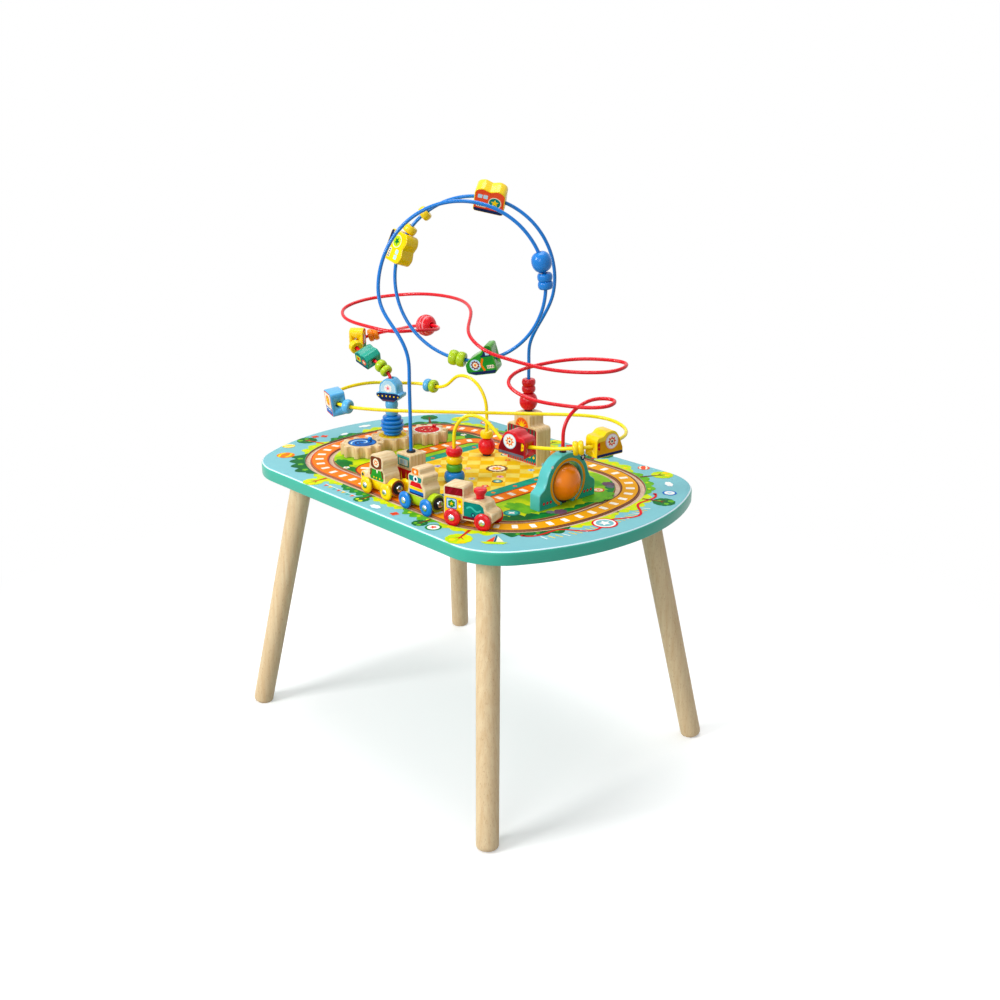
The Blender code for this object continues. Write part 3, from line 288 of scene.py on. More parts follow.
def roundCorners(corners, steps=6):
    # corners (x, y, radius) of a closed outline, each turned into an arc
    outline = []
    for index, (x, y, radius) in enumerate(corners):
        here = np.array([x, y])
        back = np.array(corners[index - 1][:2]) - here
        on = np.array(corners[(index + 1) % len(corners)][:2]) - here
        backLength, onLength = np.linalg.norm(back), np.linalg.norm(on)
        if radius <= 0:
            outline.append(here[None])
            continue
        back, on = back / backLength, on / onLength
        half = math.acos(np.clip(back @ on, -1, 1)) / 2
        reach = min(radius / math.tan(half), 0.49 * backLength, 0.49 * onLength)
        t = np.linspace(0, 1, steps + 1)[:, None]
        weight = math.sin(half)
        bottom = (1 - t) ** 2 + 2 * weight * t * (1 - t) + t ** 2
        outline.append(((1 - t) ** 2 * (here + back * reach) + 2 * weight * t * (1 - t) * here
                        + t ** 2 * (here + on * reach)) / bottom)
    return np.vstack(outline)


def boardGrid(outline, thickness, edgeRound, matrix):
    # a board sawn to an (x, z) outline, thickness along y, with its two edges eased to a radius
    if turnOf(outline) > 0:
        outline = outline[::-1]
    rows = []
    turns = np.linspace(0, math.pi / 2, 4)
    for side in (-1, 1):
        order = turns if side < 0 else turns[::-1]
        for turn in order:
            flat = insetOutline(outline, edgeRound * (1 - math.sin(turn)))
            depth = side * (thickness / 2 - edgeRound * (1 - math.cos(turn)))
            rows.append(np.stack([flat[:, 0], np.full(len(flat), depth), flat[:, 1]], axis=-1))
    return moved(np.array(rows), matrix)


def board(name, outline, thickness, matrix, materials, body, edgeRound, bores=()):
    # materials: one, or [flat faces, sawn edge]; the eased corners belong to the sawn edge
    grid = boardGrid(np.asarray(outline, float), thickness, edgeRound, matrix)
    edge = 1 if isinstance(materials, list) else 0
    return gridMesh(name, grid, materials, body, slots=[edge] * (len(grid) - 1), bores=bores,
                    capSlots=(0, 0))


def smoothPath(points, startDirection, endDirection, step, turnStep):
    # a cubic spline clamped at both ends; marks lie closer where it bends more
    spots = np.array(points, float)
    gaps = np.linalg.norm(np.diff(spots, axis=0), axis=1)
    count = len(spots)
    system, target = np.zeros((count, count)), np.zeros((count, 3))
    slopes = np.diff(spots, axis=0) / gaps[:, None]
    system[0, :2] = 2 * gaps[0], gaps[0]
    system[-1, -2:] = gaps[-1], 2 * gaps[-1]
    target[0] = 6 * (slopes[0] - np.array(startDirection))
    target[-1] = 6 * (np.array(endDirection) - slopes[-1])
    inner = np.arange(1, count - 1)
    system[inner, inner - 1], system[inner, inner + 1] = gaps[:-1], gaps[1:]
    system[inner, inner] = 2 * (gaps[:-1] + gaps[1:])
    target[1:-1] = 6 * np.diff(slopes, axis=0)
    bends = np.linalg.solve(system, target)
    t = np.linspace(0, 1, 40, endpoint=False)[None, :, None]
    back = 1 - t
    fine = (back * spots[:-1, None] + t * spots[1:, None] + gaps[:, None, None] ** 2 / 6
            * ((back ** 3 - back) * bends[:-1, None] + (t ** 3 - t) * bends[1:, None]))
    fine = np.vstack([fine.reshape(-1, 3), spots[-1:]])
    moves = np.diff(fine, axis=0)
    lengths = np.linalg.norm(moves, axis=1)
    headings = moves / lengths[:, None]
    turns = np.arccos(np.clip((headings[1:] * headings[:-1]).sum(axis=1), -1, 1))
    cost = np.concatenate([[0], np.cumsum(lengths / step + np.append(0, turns) / turnStep)])
    marks = np.linspace(0, cost[-1], round(cost[-1]) + 1)
    return readOff(marks, cost, fine)


def tubeGrid(path, radius, sides):
    # a circle carried along a path; each frame is the last one turned by the bend between them
    path = np.asarray(path, float)
    ahead = np.gradient(path, axis=0)
    ahead /= np.linalg.norm(ahead, axis=1)[:, None]
    side = np.cross(ahead[0], [0.3, 0.2, 1.0] if abs(ahead[0][2]) < 0.9 else [1.0, 0.2, 0.1])
    sideSteps = []
    for heading in ahead:
        side = side - heading * (side @ heading)
        side = side / np.linalg.norm(side)
        sideSteps.append(side)
    across = np.array(sideSteps)
    upward = np.cross(ahead, across)
    turn = np.linspace(0, math.tau, sides, endpoint=False)
    return (path[:, None] + radius * (np.cos(turn)[None, :, None] * across[:, None]
                                      + np.sin(turn)[None, :, None] * upward[:, None]))


helix = {"radius": 0.106, "advance": 0.074, "azimuth": 125.6,
         "centre": (0.0396, -0.0503, 0.2648)}     # metres; heights are over the table top


def helixPoint(angle):
    # the blue coil's point at an angle in degrees, clockwise from its left side
    heading, turn = math.radians(helix["azimuth"]), math.radians(angle)
    axis = np.array([math.cos(heading), math.sin(heading), 0])
    right = np.array([math.sin(heading), -math.cos(heading), 0])
    return tuple(np.array(helix["centre"]) + axis * helix["advance"] * angle / 360
                 - right * helix["radius"] * math.cos(turn)
                 + np.array([0, 0, helix["radius"] * math.sin(turn)]))


blueRoute = ([(-0.005, -0.099, 0.14), (-0.0065, -0.0995, 0.176), (-0.018, -0.106, 0.205)]
             + [helixPoint(angle) for angle in range(-15, 570, 30)]
             + [(0.031, 0.095, 0.188), (0.0236, 0.0926, 0.168), (0.0225, 0.0925, 0.142)])
redRoute = [
    (-0.1694, -0.0027, 0.096), (-0.1723, -0.0033, 0.1075), (-0.179, -0.0042, 0.1135),
    (-0.189, -0.0055, 0.119), (-0.2025, -0.0075, 0.1245), (-0.2165, -0.009, 0.1295),
    (-0.231, -0.0105, 0.1345), (-0.245, -0.009, 0.139), (-0.2555, -0.002, 0.1425),
    (-0.261, 0.008, 0.1455), (-0.2706, 0.0155, 0.1435), (-0.2756, 0.0271, 0.1427),
    (-0.2737, 0.0401, 0.1451), (-0.2691, 0.0465, 0.1472), (-0.259, 0.0514, 0.1504),
    (-0.2379, 0.0513, 0.156), (-0.2042, 0.0449, 0.1649), (-0.1675, 0.0345, 0.1745),
    (-0.129, 0.0347, 0.1823), (-0.1143, 0.033, 0.1841), (-0.0975, 0.0289, 0.1844),
    (-0.0849, 0.0161, 0.1848), (-0.0797, -0.0033, 0.1869), (-0.0848, -0.025, 0.1886),
    (-0.098, -0.044, 0.188), (-0.141, -0.061, 0.191), (-0.192, -0.064, 0.197),
    (-0.219, -0.045, 0.204), (-0.222, -0.008, 0.2115), (-0.19, 0.033, 0.2185),
    (-0.144, 0.051, 0.223), (-0.1, 0.056, 0.2235), (-0.0602, 0.0477, 0.2219),
    (-0.0263, 0.0284, 0.2154), (-0.001, 0.0018, 0.2049), (0.0255, -0.0183, 0.1948),
    (0.0548, -0.0195, 0.1823), (0.0873, -0.0059, 0.1732), (0.1341, 0.0159, 0.1652),
    (0.18, 0.041, 0.1645), (0.206, 0.074, 0.1675), (0.198, 0.096, 0.17),
    (0.166, 0.092, 0.171), (0.123, 0.062, 0.168), (0.099, 0.026, 0.1615),
    (0.09, 0.0, 0.154), (0.096, -0.016, 0.146), (0.125, -0.018, 0.134),
    (0.171, 0.001, 0.1275), (0.204, 0.02, 0.127), (0.2215, 0.042, 0.1295),
    (0.2125, 0.0578, 0.1312), (0.1946, 0.0517, 0.1312), (0.1841, 0.029, 0.1255),
    (0.1795, 0.009, 0.11), (0.1782, 0.002, 0.088)]
yellowRoute = [
    (0.0237, -0.0479, 0.062), (0.028, -0.046, 0.081), (0.038, -0.04, 0.093),
    (0.05, -0.035, 0.096), (0.062, -0.03, 0.093), (0.074, -0.027, 0.086),
    (0.089, -0.025, 0.074), (0.112, -0.021, 0.067), (0.14, -0.015, 0.068),
    (0.172, -0.009, 0.072), (0.199, 0.001, 0.0765), (0.217, 0.026, 0.079),
    (0.22, 0.054, 0.08), (0.212, 0.083, 0.081), (0.192, 0.103, 0.083),
    (0.163, 0.109, 0.086), (0.128, 0.098, 0.087), (0.082, 0.07, 0.085),
    (0.015, 0.012, 0.0845), (-0.057, -0.054, 0.0845), (-0.101, -0.098, 0.087),
    (-0.126, -0.115, 0.089), (-0.152, -0.115, 0.09), (-0.178, -0.1, 0.091),
    (-0.198, -0.077, 0.091), (-0.208, -0.044, 0.0915), (-0.204, -0.008, 0.091),
    (-0.18, 0.027, 0.089), (-0.15, 0.044, 0.0895), (-0.124, 0.051, 0.089),
    (-0.107, 0.054, 0.096), (-0.091, 0.056, 0.109), (-0.075, 0.058, 0.113),
    (-0.059, 0.061, 0.109), (-0.047, 0.064, 0.098), (-0.039, 0.0665, 0.08),
    (-0.0369, 0.0667, 0.058)]

blockTop = {"booth": 0.047, "castle": 0.0741, "arch": 0.0671}     # over the table top
wireSize = {"radius": 0.0024, "socket": 0.0097, "cadStep": 0.024, "cadTurn": math.radians(22),
            "step": 0.005, "turn": math.radians(6), "sides": 14}
spots = {"gear": (-0.1694, -0.0027), "booth": (-0.005, -0.099), "castle": (0.0225, 0.0925),
         "arch": (0.1782, 0.002), "stack": (0.0237, -0.0479), "yellowEnd": (-0.0369, 0.0667)}


def wirePath(foot, route, head, step, turnStep):
    # foot, clamped spline through the route, head; heights are over the table top
    above = [(x, y, topZ + height) for x, y, height in route]
    return np.vstack([[foot], smoothPath(above, (0, 0, 1), (0, 0, -1), step, turnStep), [head]])


ends = {"blue": ((*spots["booth"], topZ + blockTop["booth"] - wireSize["socket"]),
                 (*spots["castle"], topZ + blockTop["castle"] - wireSize["socket"])),
        "red": ((*spots["gear"], topZ - wireSize["socket"]), (*spots["arch"], topZ - wireSize["socket"])),
        "yellow": ((*spots["stack"], topZ - wireSize["socket"]),
                   (*spots["yellowEnd"], topZ - wireSize["socket"]))}
routes = {"blue": blueRoute, "red": redRoute, "yellow": yellowRoute}
cadPath = {key: wirePath(ends[key][0], routes[key], ends[key][1], wireSize["cadStep"],
                         wireSize["cadTurn"]) for key in routes}
finePath = {key: wirePath(ends[key][0], routes[key], ends[key][1], wireSize["step"],
                          wireSize["turn"]) for key in routes}


def pointOn(path, distance):
    # measured from the path's second point, where the wire leaves its socket's straight
    travelled = marksAlong(path)
    return readOff(distance, travelled - travelled[1], path)


def frameAt(origin, along, up):
    # local x runs along the wire, local z as near to the given direction as it can
    xAxis = Vector(along).normalized()
    zAxis = (Vector(up) - xAxis * xAxis.dot(Vector(up))).normalized()
    yAxis = zAxis.cross(xAxis)
    return Matrix.Translation(origin) @ Matrix((xAxis, yAxis, zAxis)).transposed().to_4x4()


def seatOn(path, distance, length, up=(0.1, 0.2, 1), flip=1):
    # where a threaded piece sits, from the stretch of wire inside it
    marks = [pointOn(path, distance + length * share) for share in (-0.5, -0.25, 0.0, 0.25, 0.5)]
    middle = Vector(sum(marks) / 5)
    return frameAt(middle, Vector(marks[-1] - marks[0]) * flip, up)


def post(spot, height):
    # upright on the table top at a spot and a height
    return Matrix.Translation((*spot, topZ + height))


# the last two are a brown-orange and an olive for the cars' front ends in place of their yellow and lime:
# painted shade
paints = {"red": "E40C20", "blue": "0C82DC", "pale": "58B4E8", "lime": "B4D414",
          "green": "52AC28", "yellow": "FFDA06", "orange": "FF8A04", "teal": "12A890", "archPale": "56C2C0",
          "amber": "A8481A", "limeInShade": "78901C"}
paint = {key: glossPaint(key + "Enamel", colour) for key, colour in paints.items()}
wireCoat = {key: glossPaint(key + "PlasticCoatedSteel", colour, 0.18, 0.08, 0.03, 0.0)
            for key, colour in (("blue", "067CD6"), ("red", "E2081E"), ("yellow", "FFE810"))}
beechUp = beechWood("beechUprightGrain", "F4DCAE", "DEB97E", (0, 0, 1))
beechFigure = beechWood("beechEngineGrain", "F8E4BA", "E4C28C", (0, 1, 0), 0.0018)
beechLeg = beechWood("beechDowel", "F6DEB2", "EACA9A", (0, 0, 1), 0.0026)
inks = {"meadowDeep": ("74BC1E", "52A41E"),
        "bush": ("148A34", "0C722C"), "leaf": ("B4D80E", "D6E412"), "darkLeaf": ("127434", "0C5E28"),
        "trunk": ("DC3A1A", "BC2A14"), "trunkBrown": ("7A3E1E", "6A3317"),
        "bark": ("6B4A2F", "5A3C26"), "sleeper": ("FFFDF2", "F6F0DC"), "track": ("FB8A0E", "F27C08"),
        "trackGold": ("EFA912", "E29A08"), "trackRed": ("DC3A12", "C42C10"),
        "trackBrown": ("6E3422", "57271A"), "rugGold": ("F6C80A", "ECB80A"),
        "rugCream": ("F8E46A", "F0D850"), "rugTeal": ("12A286", "0C9078"),
        "rugShade": ("0C705C", "086450"), "white": ("FBFBF6", "F1F2EC"), "sky": ("BFE3F5", "A9D7EF"),
        "red": ("E21C22", "CC141C"), "coral": ("F4552F", "E8481F"), "yellow": ("FFDC10", "F8CC06"),
        "orange": ("F98208", "EE7404"), "blue": ("1074CC", "0A62B8"), "navy": ("1D2D5E", "16244F"),
        "pink": ("F4B9CF", "EDA5C0"), "lilac": ("C9BFE6", "B8ACDB"), "plum": ("6B4C63", "5A3D54"),
        "teal": ("0A8C80", "08786E"), "tealLight": ("40C0B2", "30B0A2"), "green": ("2C9C2A", "20882A"),
        "cream": ("FBF3D6", "F4E8C2"), "grey": ("6E7480", "5C626E"),
        "borderAqua": ("7EBBC2", "79B6BE"), "crimson": ("A5152C", "961024"),
        "maroon": ("8E0E1A", "7B0A14")}
ink = {key: printInk(key + "PrintedInk", one, two) for key, (one, two) in inks.items()}


def steelMaterial(name, colour, roughness):
    # polished nickel-plated steel, faintly brushed by tumbling
    material, tree, shader, place = startMaterial(name, roughness, metallic=1.0)
    shader.inputs["Base Color"].default_value = linear(colour)
    scratches = addNode(tree, "ShaderNodeTexNoise", {"Scale": 700.0, "Detail": 2.0},
                        {"Vector": (place, "Object")})
    addBump(tree, shader, scratches, "Fac", 0.08, 0.00005)
    return material


def rubberMaterial(name, colour):
    # matt black moulded rubber
    material, tree, shader, place = startMaterial(name, 0.7)
    cloud = addNode(tree, "ShaderNodeTexNoise", {"Scale": 400.0}, {"Vector": (place, "Object")})
    tone = addNode(tree, "ShaderNodeMix", {"data_type": "RGBA", 6: linear(colour), 7: linear("2A2A2C")},
                   {"Factor": (cloud, "Fac")})
    tree.links.new(tone.outputs[2], shader.inputs["Base Color"])
    addBump(tree, shader, cloud, "Fac", 0.2, 0.0001)
    return material


steel = steelMaterial("nickelPlatedSteel", "DCDFE3", 0.16)
rubber = rubberMaterial("mouldedRubber", "121214")
magnetSteel = steelMaterial("magnetSteel", "B9BCC2", 0.24)
print("materials made")


for key in routes:
    grid = tubeGrid(finePath[key], wireSize["radius"], wireSize["sides"])
    tube = gridMesh(key + "Wire", grid, wireCoat[key], "table")
    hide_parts("wire_" + key)
print("wires swept")


beadSize = {"wireBore": 0.0037, "postBore": 0.003, "sides": 40, "mouth": 0.0007, "steps": 12}


def beadProfile(radius, length, bore, lobes=1, waist=0.62):
    # closed outline: a countersunk bore, then one rounded swelling per lobe
    mouth = beadSize["mouth"]
    neck = bore + (radius - bore) * waist
    half = length / lobes / 2
    rows = [(bore, -length / 2 + mouth * 1.2), (bore + mouth * 0.3, -length / 2 + mouth * 0.4),
            (bore + mouth, -length / 2)]
    for lobe in range(lobes):
        middle = -length / 2 + half * (2 * lobe + 1)
        angles = np.linspace(-math.pi / 2, math.pi / 2, beadSize["steps"] + 1)
        arc = np.stack([neck + (radius - neck) * np.cos(angles), middle + half * np.sin(angles)], axis=-1)
        rows += [tuple(point) for point in (arc[1:] if lobe else arc)]
    rows += [(bore + mouth, length / 2), (bore + mouth * 0.3, length / 2 - mouth * 0.4),
             (bore, length / 2 - mouth * 1.2)]
    return rows


def turnedBead(node, profile, matrix, colour, sides=None):
    # a bored turned piece in enamel that stands for its CAD node
    piece = latheClosed(node + "Turned", profile, matrix, paint[colour], node, sides or beadSize["sides"])
    standFor(piece, node)
    return piece


# node, wire, distance, radius, length, lobes, waist, colour
wireBeads = [
    ("ball_blue", "blue", 0.44, 0.0132, 0.0255, 1, 0.06, "blue"),
    ("bead_blue_double", "blue", 0.4652, 0.01, 0.0205, 2, 0.62, "blue"),
    ("bead_lime_double", "blue", 0.656, 0.0105, 0.0225, 2, 0.62, "lime"),
    ("bead_yellow_coil_lower", "blue", 0.874, 0.0098, 0.0105, 1, 0.62, "yellow"),
    ("bead_yellow_coil_upper", "blue", 0.903, 0.0098, 0.0105, 1, 0.62, "yellow"),
    ("bead_lime_lower", "red", 0.0202, 0.0095, 0.0087, 1, 0.62, "lime"),
    ("bead_lime_upper", "red", 0.032, 0.0098, 0.0095, 1, 0.62, "lime"),
    ("bead_yellow_ringed", "red", 0.092, 0.01, 0.0105, 3, 0.75, "yellow"),
    ("bead_orange_double", "red", 0.1615, 0.0098, 0.016, 2, 0.62, "orange"),
    ("bead_yellow_bow", "yellow", 0.2175, 0.0095, 0.014, 2, 0.62, "yellow"),
    ("bead_blue_single", "yellow", 0.729, 0.0102, 0.01, 1, 0.62, "pale"),
    ("bead_pale_single", "yellow", 0.974, 0.0098, 0.009, 1, 0.62, "pale"),
    ("bead_lime_single", "yellow", 0.984, 0.0098, 0.009, 1, 0.62, "lime")]
for node, wire, distance, radius, length, lobes, waist, colour in wireBeads:
    turnedBead(node, beadProfile(radius, length, beadSize["wireBore"], lobes, waist),
               seatOn(cadPath[wire], distance, length) @ layDown, colour)

# node, post, low and high over the top, radius, lobes, waist, colour
postBeads = [
    ("bead_pale_double", "gear", 0.047, 0.069, 0.0096, 2, 0.7, "pale"),
    ("stack_blue", "stack", 0.0, 0.0155, 0.0141, 1, 0.62, "blue"),
    ("stack_green", "stack", 0.0155, 0.0265, 0.0112, 1, 0.62, "green"),
    ("stack_yellow", "stack", 0.0265, 0.0375, 0.0112, 1, 0.62, "yellow"),
    ("stack_red", "stack", 0.0375, 0.049, 0.0114, 1, 0.62, "red"),
    ("ball_red_end", "yellowEnd", 0.0018, 0.0262, 0.0125, 1, 0.06, "red"),
    ("bead_yellow_end", "yellowEnd", 0.0265, 0.0375, 0.0096, 1, 0.62, "yellow"),
    ("ball_red_castle", "castle", 0.0755, 0.101, 0.013, 1, 0.06, "red"),
    ("bead_red_double", "castle", 0.101, 0.1205, 0.0098, 2, 0.66, "red"),
    ("arch_ball", "arch", 0.0032, 0.0514, 0.0242, 1, 0.06, "orange")]
gap, ballRadius = 0.0003, 0.02      # between stacked beads; from this radius on a bead has 64 sides
for node, spot, low, high, radius, lobes, waist, colour in postBeads:
    turnedBead(node, beadProfile(radius, high - low - gap, beadSize["postBore"], lobes, waist),
               post(spots[spot], (low + gap + high) / 2), colour, 64 if radius > ballRadius else None)


def ribbedProfile(low, high, radii, bore, valleyDepth, power=0.55):
    # ribs of unlike radius: between valleys the outline follows a flattened sine
    pitch = (high - low) / len(radii)
    rows = [(bore, low)]
    for rib, radius in enumerate(radii):
        t = np.linspace(0.04, 0.96, 9)
        swell = np.sin(np.pi * (t - 0.04) / 0.92) ** power
        for share, lift in zip(t, swell):
            rows.append((radius - valleyDepth * (1 - lift), low + (rib + share) * pitch))
    rows.append((bore, high))
    return rows


turnedBead("bead_ribbed_blue", ribbedProfile(0.0173, 0.047, (0.0132, 0.0162, 0.0177, 0.0168, 0.0142),
                                             beadSize["postBore"], 0.0028),
           post(spots["gear"], 0), "blue", 48)

grooveHighlightPaint = glossPaint("pinkGroovePaintedHighlight", "F08A92", 0.3, 0.05)   # pale pink in the four grooves that ring one bead: a painted highlight
groovedBall = {"radius": 0.0155, "length": 0.028, "distance": 0.311,
               "grooves": (-0.0072, -0.0024, 0.0024, 0.0072),
               "grooveWidth": 0.0011, "grooveDepth": 0.0008}
latitudes = np.linspace(-groovedBall["length"] / 2, groovedBall["length"] / 2, 90)
share = latitudes / (groovedBall["length"] / 2 + 0.0004)
ballEdge = groovedBall["radius"] * np.sqrt(np.maximum(1 - share ** 2, 0))
for groove in groovedBall["grooves"]:
    ballEdge -= groovedBall["grooveDepth"] * np.exp(-((latitudes - groove) / groovedBall["grooveWidth"]) ** 2)
ballEdge = np.maximum(ballEdge, beadSize["wireBore"] + 0.0006)
groovedRows = ([(beadSize["wireBore"], latitudes[0] + 0.0006)] + list(zip(ballEdge, latitudes))
               + [(beadSize["wireBore"], latitudes[-1] - 0.0006)])
# rows inside a groove take the pale pink, a painted highlight
inGroove = [int(min(abs(height - groove) for groove in groovedBall["grooves"])
                < groovedBall["grooveWidth"] * 0.8) for _, height in groovedRows]
piece = latheClosed("ball_red_stripedTurned", groovedRows,
                    seatOn(cadPath["red"], groovedBall["distance"], groovedBall["length"]) @ layDown,
                    [paint["red"], grooveHighlightPaint], "ball_red_striped", 56, inGroove)
standFor(piece, "ball_red_striped")
print("beads turned")


printStep = {"thick": 0.00008, "layer": 0.00007, "order": 0.000001}
prints = {}


def lobedShape(centre, radius, lobes, depth=0.16, start=0.0, squash=1.0):
    # a cloud or tree crown: radius swings with |sin| so that the lobes meet in cusps
    turn = np.linspace(0, math.tau, lobes * 8, endpoint=False)
    reach = radius * (1 - depth + depth * np.abs(np.sin(turn * lobes / 2 + start)) ** 0.7)
    return centre + np.outer(reach, [1, squash]) * onCircle(turn)


def starShape(centre, radius, inner, points, start=math.pi / 2):
    # radius and inner radius by turns
    turn = np.arange(points * 2) * math.pi / points + start
    reach = np.where(np.arange(points * 2) % 2 == 0, radius, inner)
    return centre + reach[:, None] * onCircle(turn)


def bandShape(path, width):
    # a ribbon of even width along an open path of points, with square ends
    path = np.asarray(path, float)
    ahead = np.gradient(path, axis=0)
    ahead /= np.linalg.norm(ahead, axis=1)[:, None]
    across = np.stack([-ahead[:, 1], ahead[:, 0]], axis=-1) * width / 2
    return np.vstack([path + across, (path - across)[::-1]])


def decal(group, colour, outline, level, matrix, body, node, lift=0.0):
    # one flat of ink: queued per group and colour, so that each colour is one mesh per piece
    outline = np.asarray(outline, float)
    if turnOf(outline) < 0:
        outline = outline[::-1]
    queue = (group, colour, body, node)
    prints.setdefault(queue, [])
    order = [key for key in prints if key[3] == node].index(queue)
    height = printStep["thick"] + level * printStep["layer"] + order * printStep["order"] + lift
    prints[queue].append(moved(np.column_stack([outline, np.full(len(outline), height)]), matrix))


def layPrints():
    # a decal mesh per queue: every outline becomes one n-gon
    for (group, colour, body, node), outlines in prints.items():
        points, faces, start = [], [], 0
        for outline in outlines:
            points.append(outline)
            faces.append(list(range(start, start + len(outline))))
            start += len(outline)
        mesh = bpy.data.meshes.new(group + colour)
        mesh.from_pydata(np.vstack(points).tolist(), [], faces)
        mesh.materials.append(ink[colour])
        mesh.validate()
        piece = addObject(group + "Print" + colour[0].upper() + colour[1:], mesh)
        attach(piece, body)
    prints.clear()


def faceOf(seat, thickness, back=False):
    # a board's printed face: x as the board's, y up, z out of the wood; the back one is seen from behind
    turn = Matrix.Rotation(math.pi if back else 0, 4, "Z")
    return seat @ turn @ Matrix.Translation((0, -thickness / 2, 0)) @ sideways


def printBoth(group, seat, thickness, body, node, shapes, faces=(False, True)):
    # prints the same picture on a board's two faces; shapes: (colour, outline, level)
    for back in faces:
        face = faceOf(seat, thickness, back)
        for colour, outline, level in shapes:
            outline = np.asarray(outline, float)
            decal(group + ("Back" if back else ""), colour,
                  outline * [-1, 1] if back else outline, level, face, body, node)


def oval(x, y, radius, squash=1.0, count=28):
    # a filled round or ellipse for prints
    turn = np.linspace(0, math.tau, count, endpoint=False)
    return onCircle(turn) * [radius, radius * squash] + [x, y]


def panel(x0, y0, x1, y1, radius=0.0012):
    # a rectangle with rounded corners
    return roundCorners([(x0, y0, radius), (x1, y0, radius), (x1, y1, radius), (x0, y1, radius)], 4)


def clipLow(outline, height):
    # the part of an outline under a height
    kept = []
    for (x, y), (nx, ny) in zip(outline, np.roll(outline, -1, axis=0)):
        if y <= height:
            kept.append((x, y))
        if (y - height) * (ny - height) < 0:
            share = (height - y) / (ny - y)
            kept.append((x + (nx - x) * share, height))
    return np.array(kept).reshape(-1, 2)


def clipHigh(outline, height):
    # the part of an outline over a height: clipLow of its mirror image
    return clipLow(np.asarray(outline) * [1, -1], -height) * [1, -1]


blockBore, sawnEdge = 0.0048, 0.0009      # the hole's radius, and the rounding of the sawn edges
shapes = {
    "twinWave": roundCorners([
        (-0.0205, 0.0, 0.004), (-0.0205, 0.034, 0.008), (-0.01, 0.038, 0.008), (0.0, 0.0345, 0.003),
        (0.01, 0.038, 0.008), (0.0205, 0.034, 0.008), (0.0205, 0.0, 0.004)], 8),
    "van": roundCorners([
        (-0.0215, 0.004, 0.005), (-0.0215, 0.016, 0.005), (-0.016, 0.022, 0.006), (0.004, 0.031, 0.004),
        (0.01, 0.039, 0.003), (0.019, 0.039, 0.003), (0.0215, 0.004, 0.004), (0.018, 0.0, 0.003),
        (-0.01, 0.0, 0.01)], 8),
    "car": roundCorners([
        (-0.021, 0.0, 0.0015), (-0.021, 0.008, 0.003), (-0.0165, 0.021, 0.008), (-0.01, 0.0325, 0.01),
        (0.004, 0.0325, 0.008), (0.0095, 0.0275, 0.006), (0.0195, 0.0265, 0.005), (0.021, 0.0, 0.0015)], 8),
    "snub": roundCorners([
        (-0.012, 0.0, 0.003), (-0.012, 0.028, 0.006), (0.0, 0.0305, 0.006), (0.012, 0.028, 0.006),
        (0.012, 0.0, 0.003)], 8),
    "ridge": roundCorners([
        (-0.014, 0.0, 0.002), (-0.0145, 0.017, 0.003), (-0.0075, 0.0225, 0.004), (0.0, 0.0205, 0.002),
        (0.0075, 0.0225, 0.004), (0.0145, 0.017, 0.003), (0.014, 0.0, 0.002)], 8),
    "brick": roundCorners([
        (-0.015, 0.0, 0.003), (-0.015, 0.034, 0.004), (0.015, 0.034, 0.004), (0.015, 0.0, 0.003)], 8)}
towardFrontRight = np.array([0.731, -0.682, 0.0])


def leaning(direction, degrees):
    # a direction turned by degrees toward the front right: d cos a + f sin a
    angle = math.radians(degrees)
    direction = np.array(direction) / np.linalg.norm(direction)
    return direction * math.cos(angle) + towardFrontRight * math.sin(angle)


def coilOutward(distance, reach=0.05):
    # from the middle of the circle through three points of the coil to the wire
    before, here, after = (Vector(pointOn(cadPath["blue"], distance + shift))
                           for shift in (-reach, 0, reach))
    first, second = before - here, after - here
    axis = second.cross(first)
    lift = (first.length_squared * second - second.length_squared * first).cross(axis)
    return np.array(lift / (2 * axis.length_squared))


def drilledBlock(node, shape, thickness, colour, wire, distance, up, boreHeight, picture, flip=1):
    # a block sawn from board, drilled along its length, threaded on a wire and printed on both faces
    outline = shapes[shape]
    length = outline[:, 0].max() - outline[:, 0].min()
    seat = seatOn(cadPath[wire], distance, length, up, flip)
    lifted = seat @ Matrix.Translation((0, 0, -boreHeight))
    hole = (seat @ layDown, blockBore, -length, length, paint[colour])
    piece = board(node + "Sawn", outline, thickness, lifted, paint[colour], node, sawnEdge, [hole])
    standFor(piece, node)
    printBoth(node, lifted, thickness, node, node, picture)


def busPicture(outline, body, skirt, badge, mark):
    # a vehicle side: coloured body, dark skirt, two windows, a round badge with a plain mark and a cream
    # panel with navy bars
    inner = insetOutline(outline, 0.0011)
    shapesOut = [(body, inner, 0), (skirt, clipLow(inner, 0.0062), 1)]
    for x in (-0.0158, -0.0085):
        shapesOut.append(("sky", panel(x, 0.0225, x + 0.006, 0.0285, 0.001), 1))
    shapesOut += [("cream", oval(0.0075, 0.0185, 0.0088), 1), (badge, oval(0.0075, 0.0185, 0.0076), 2),
                  (mark, starShape((0.0075, 0.0185), 0.0056, 0.0025, 5), 3),
                  ("cream", panel(-0.0165, 0.0085, -0.0035, 0.0135, 0.0008), 1)]
    for k in range(4):
        shapesOut.append(
            ("navy", panel(-0.0155 + k * 0.003, 0.0095, -0.0139 + k * 0.003, 0.0125, 0.0004), 2))
    return shapesOut


for node, side, lean, boreHeight, distance, colours in (
        ("block_yellow_coil", -1, 42, 0.018, 0.846, ("yellow", "navy", "leaf", "bush")),
        ("block_coil_top", 1, 32, 0.016, 0.996, ("coral", "navy", "teal", "yellow"))):
    drilledBlock(node, "twinWave", 0.021, "yellow", "blue", distance,
                 leaning(coilOutward(distance) * side, lean), boreHeight,
                 busPicture(shapes["twinWave"], *colours))

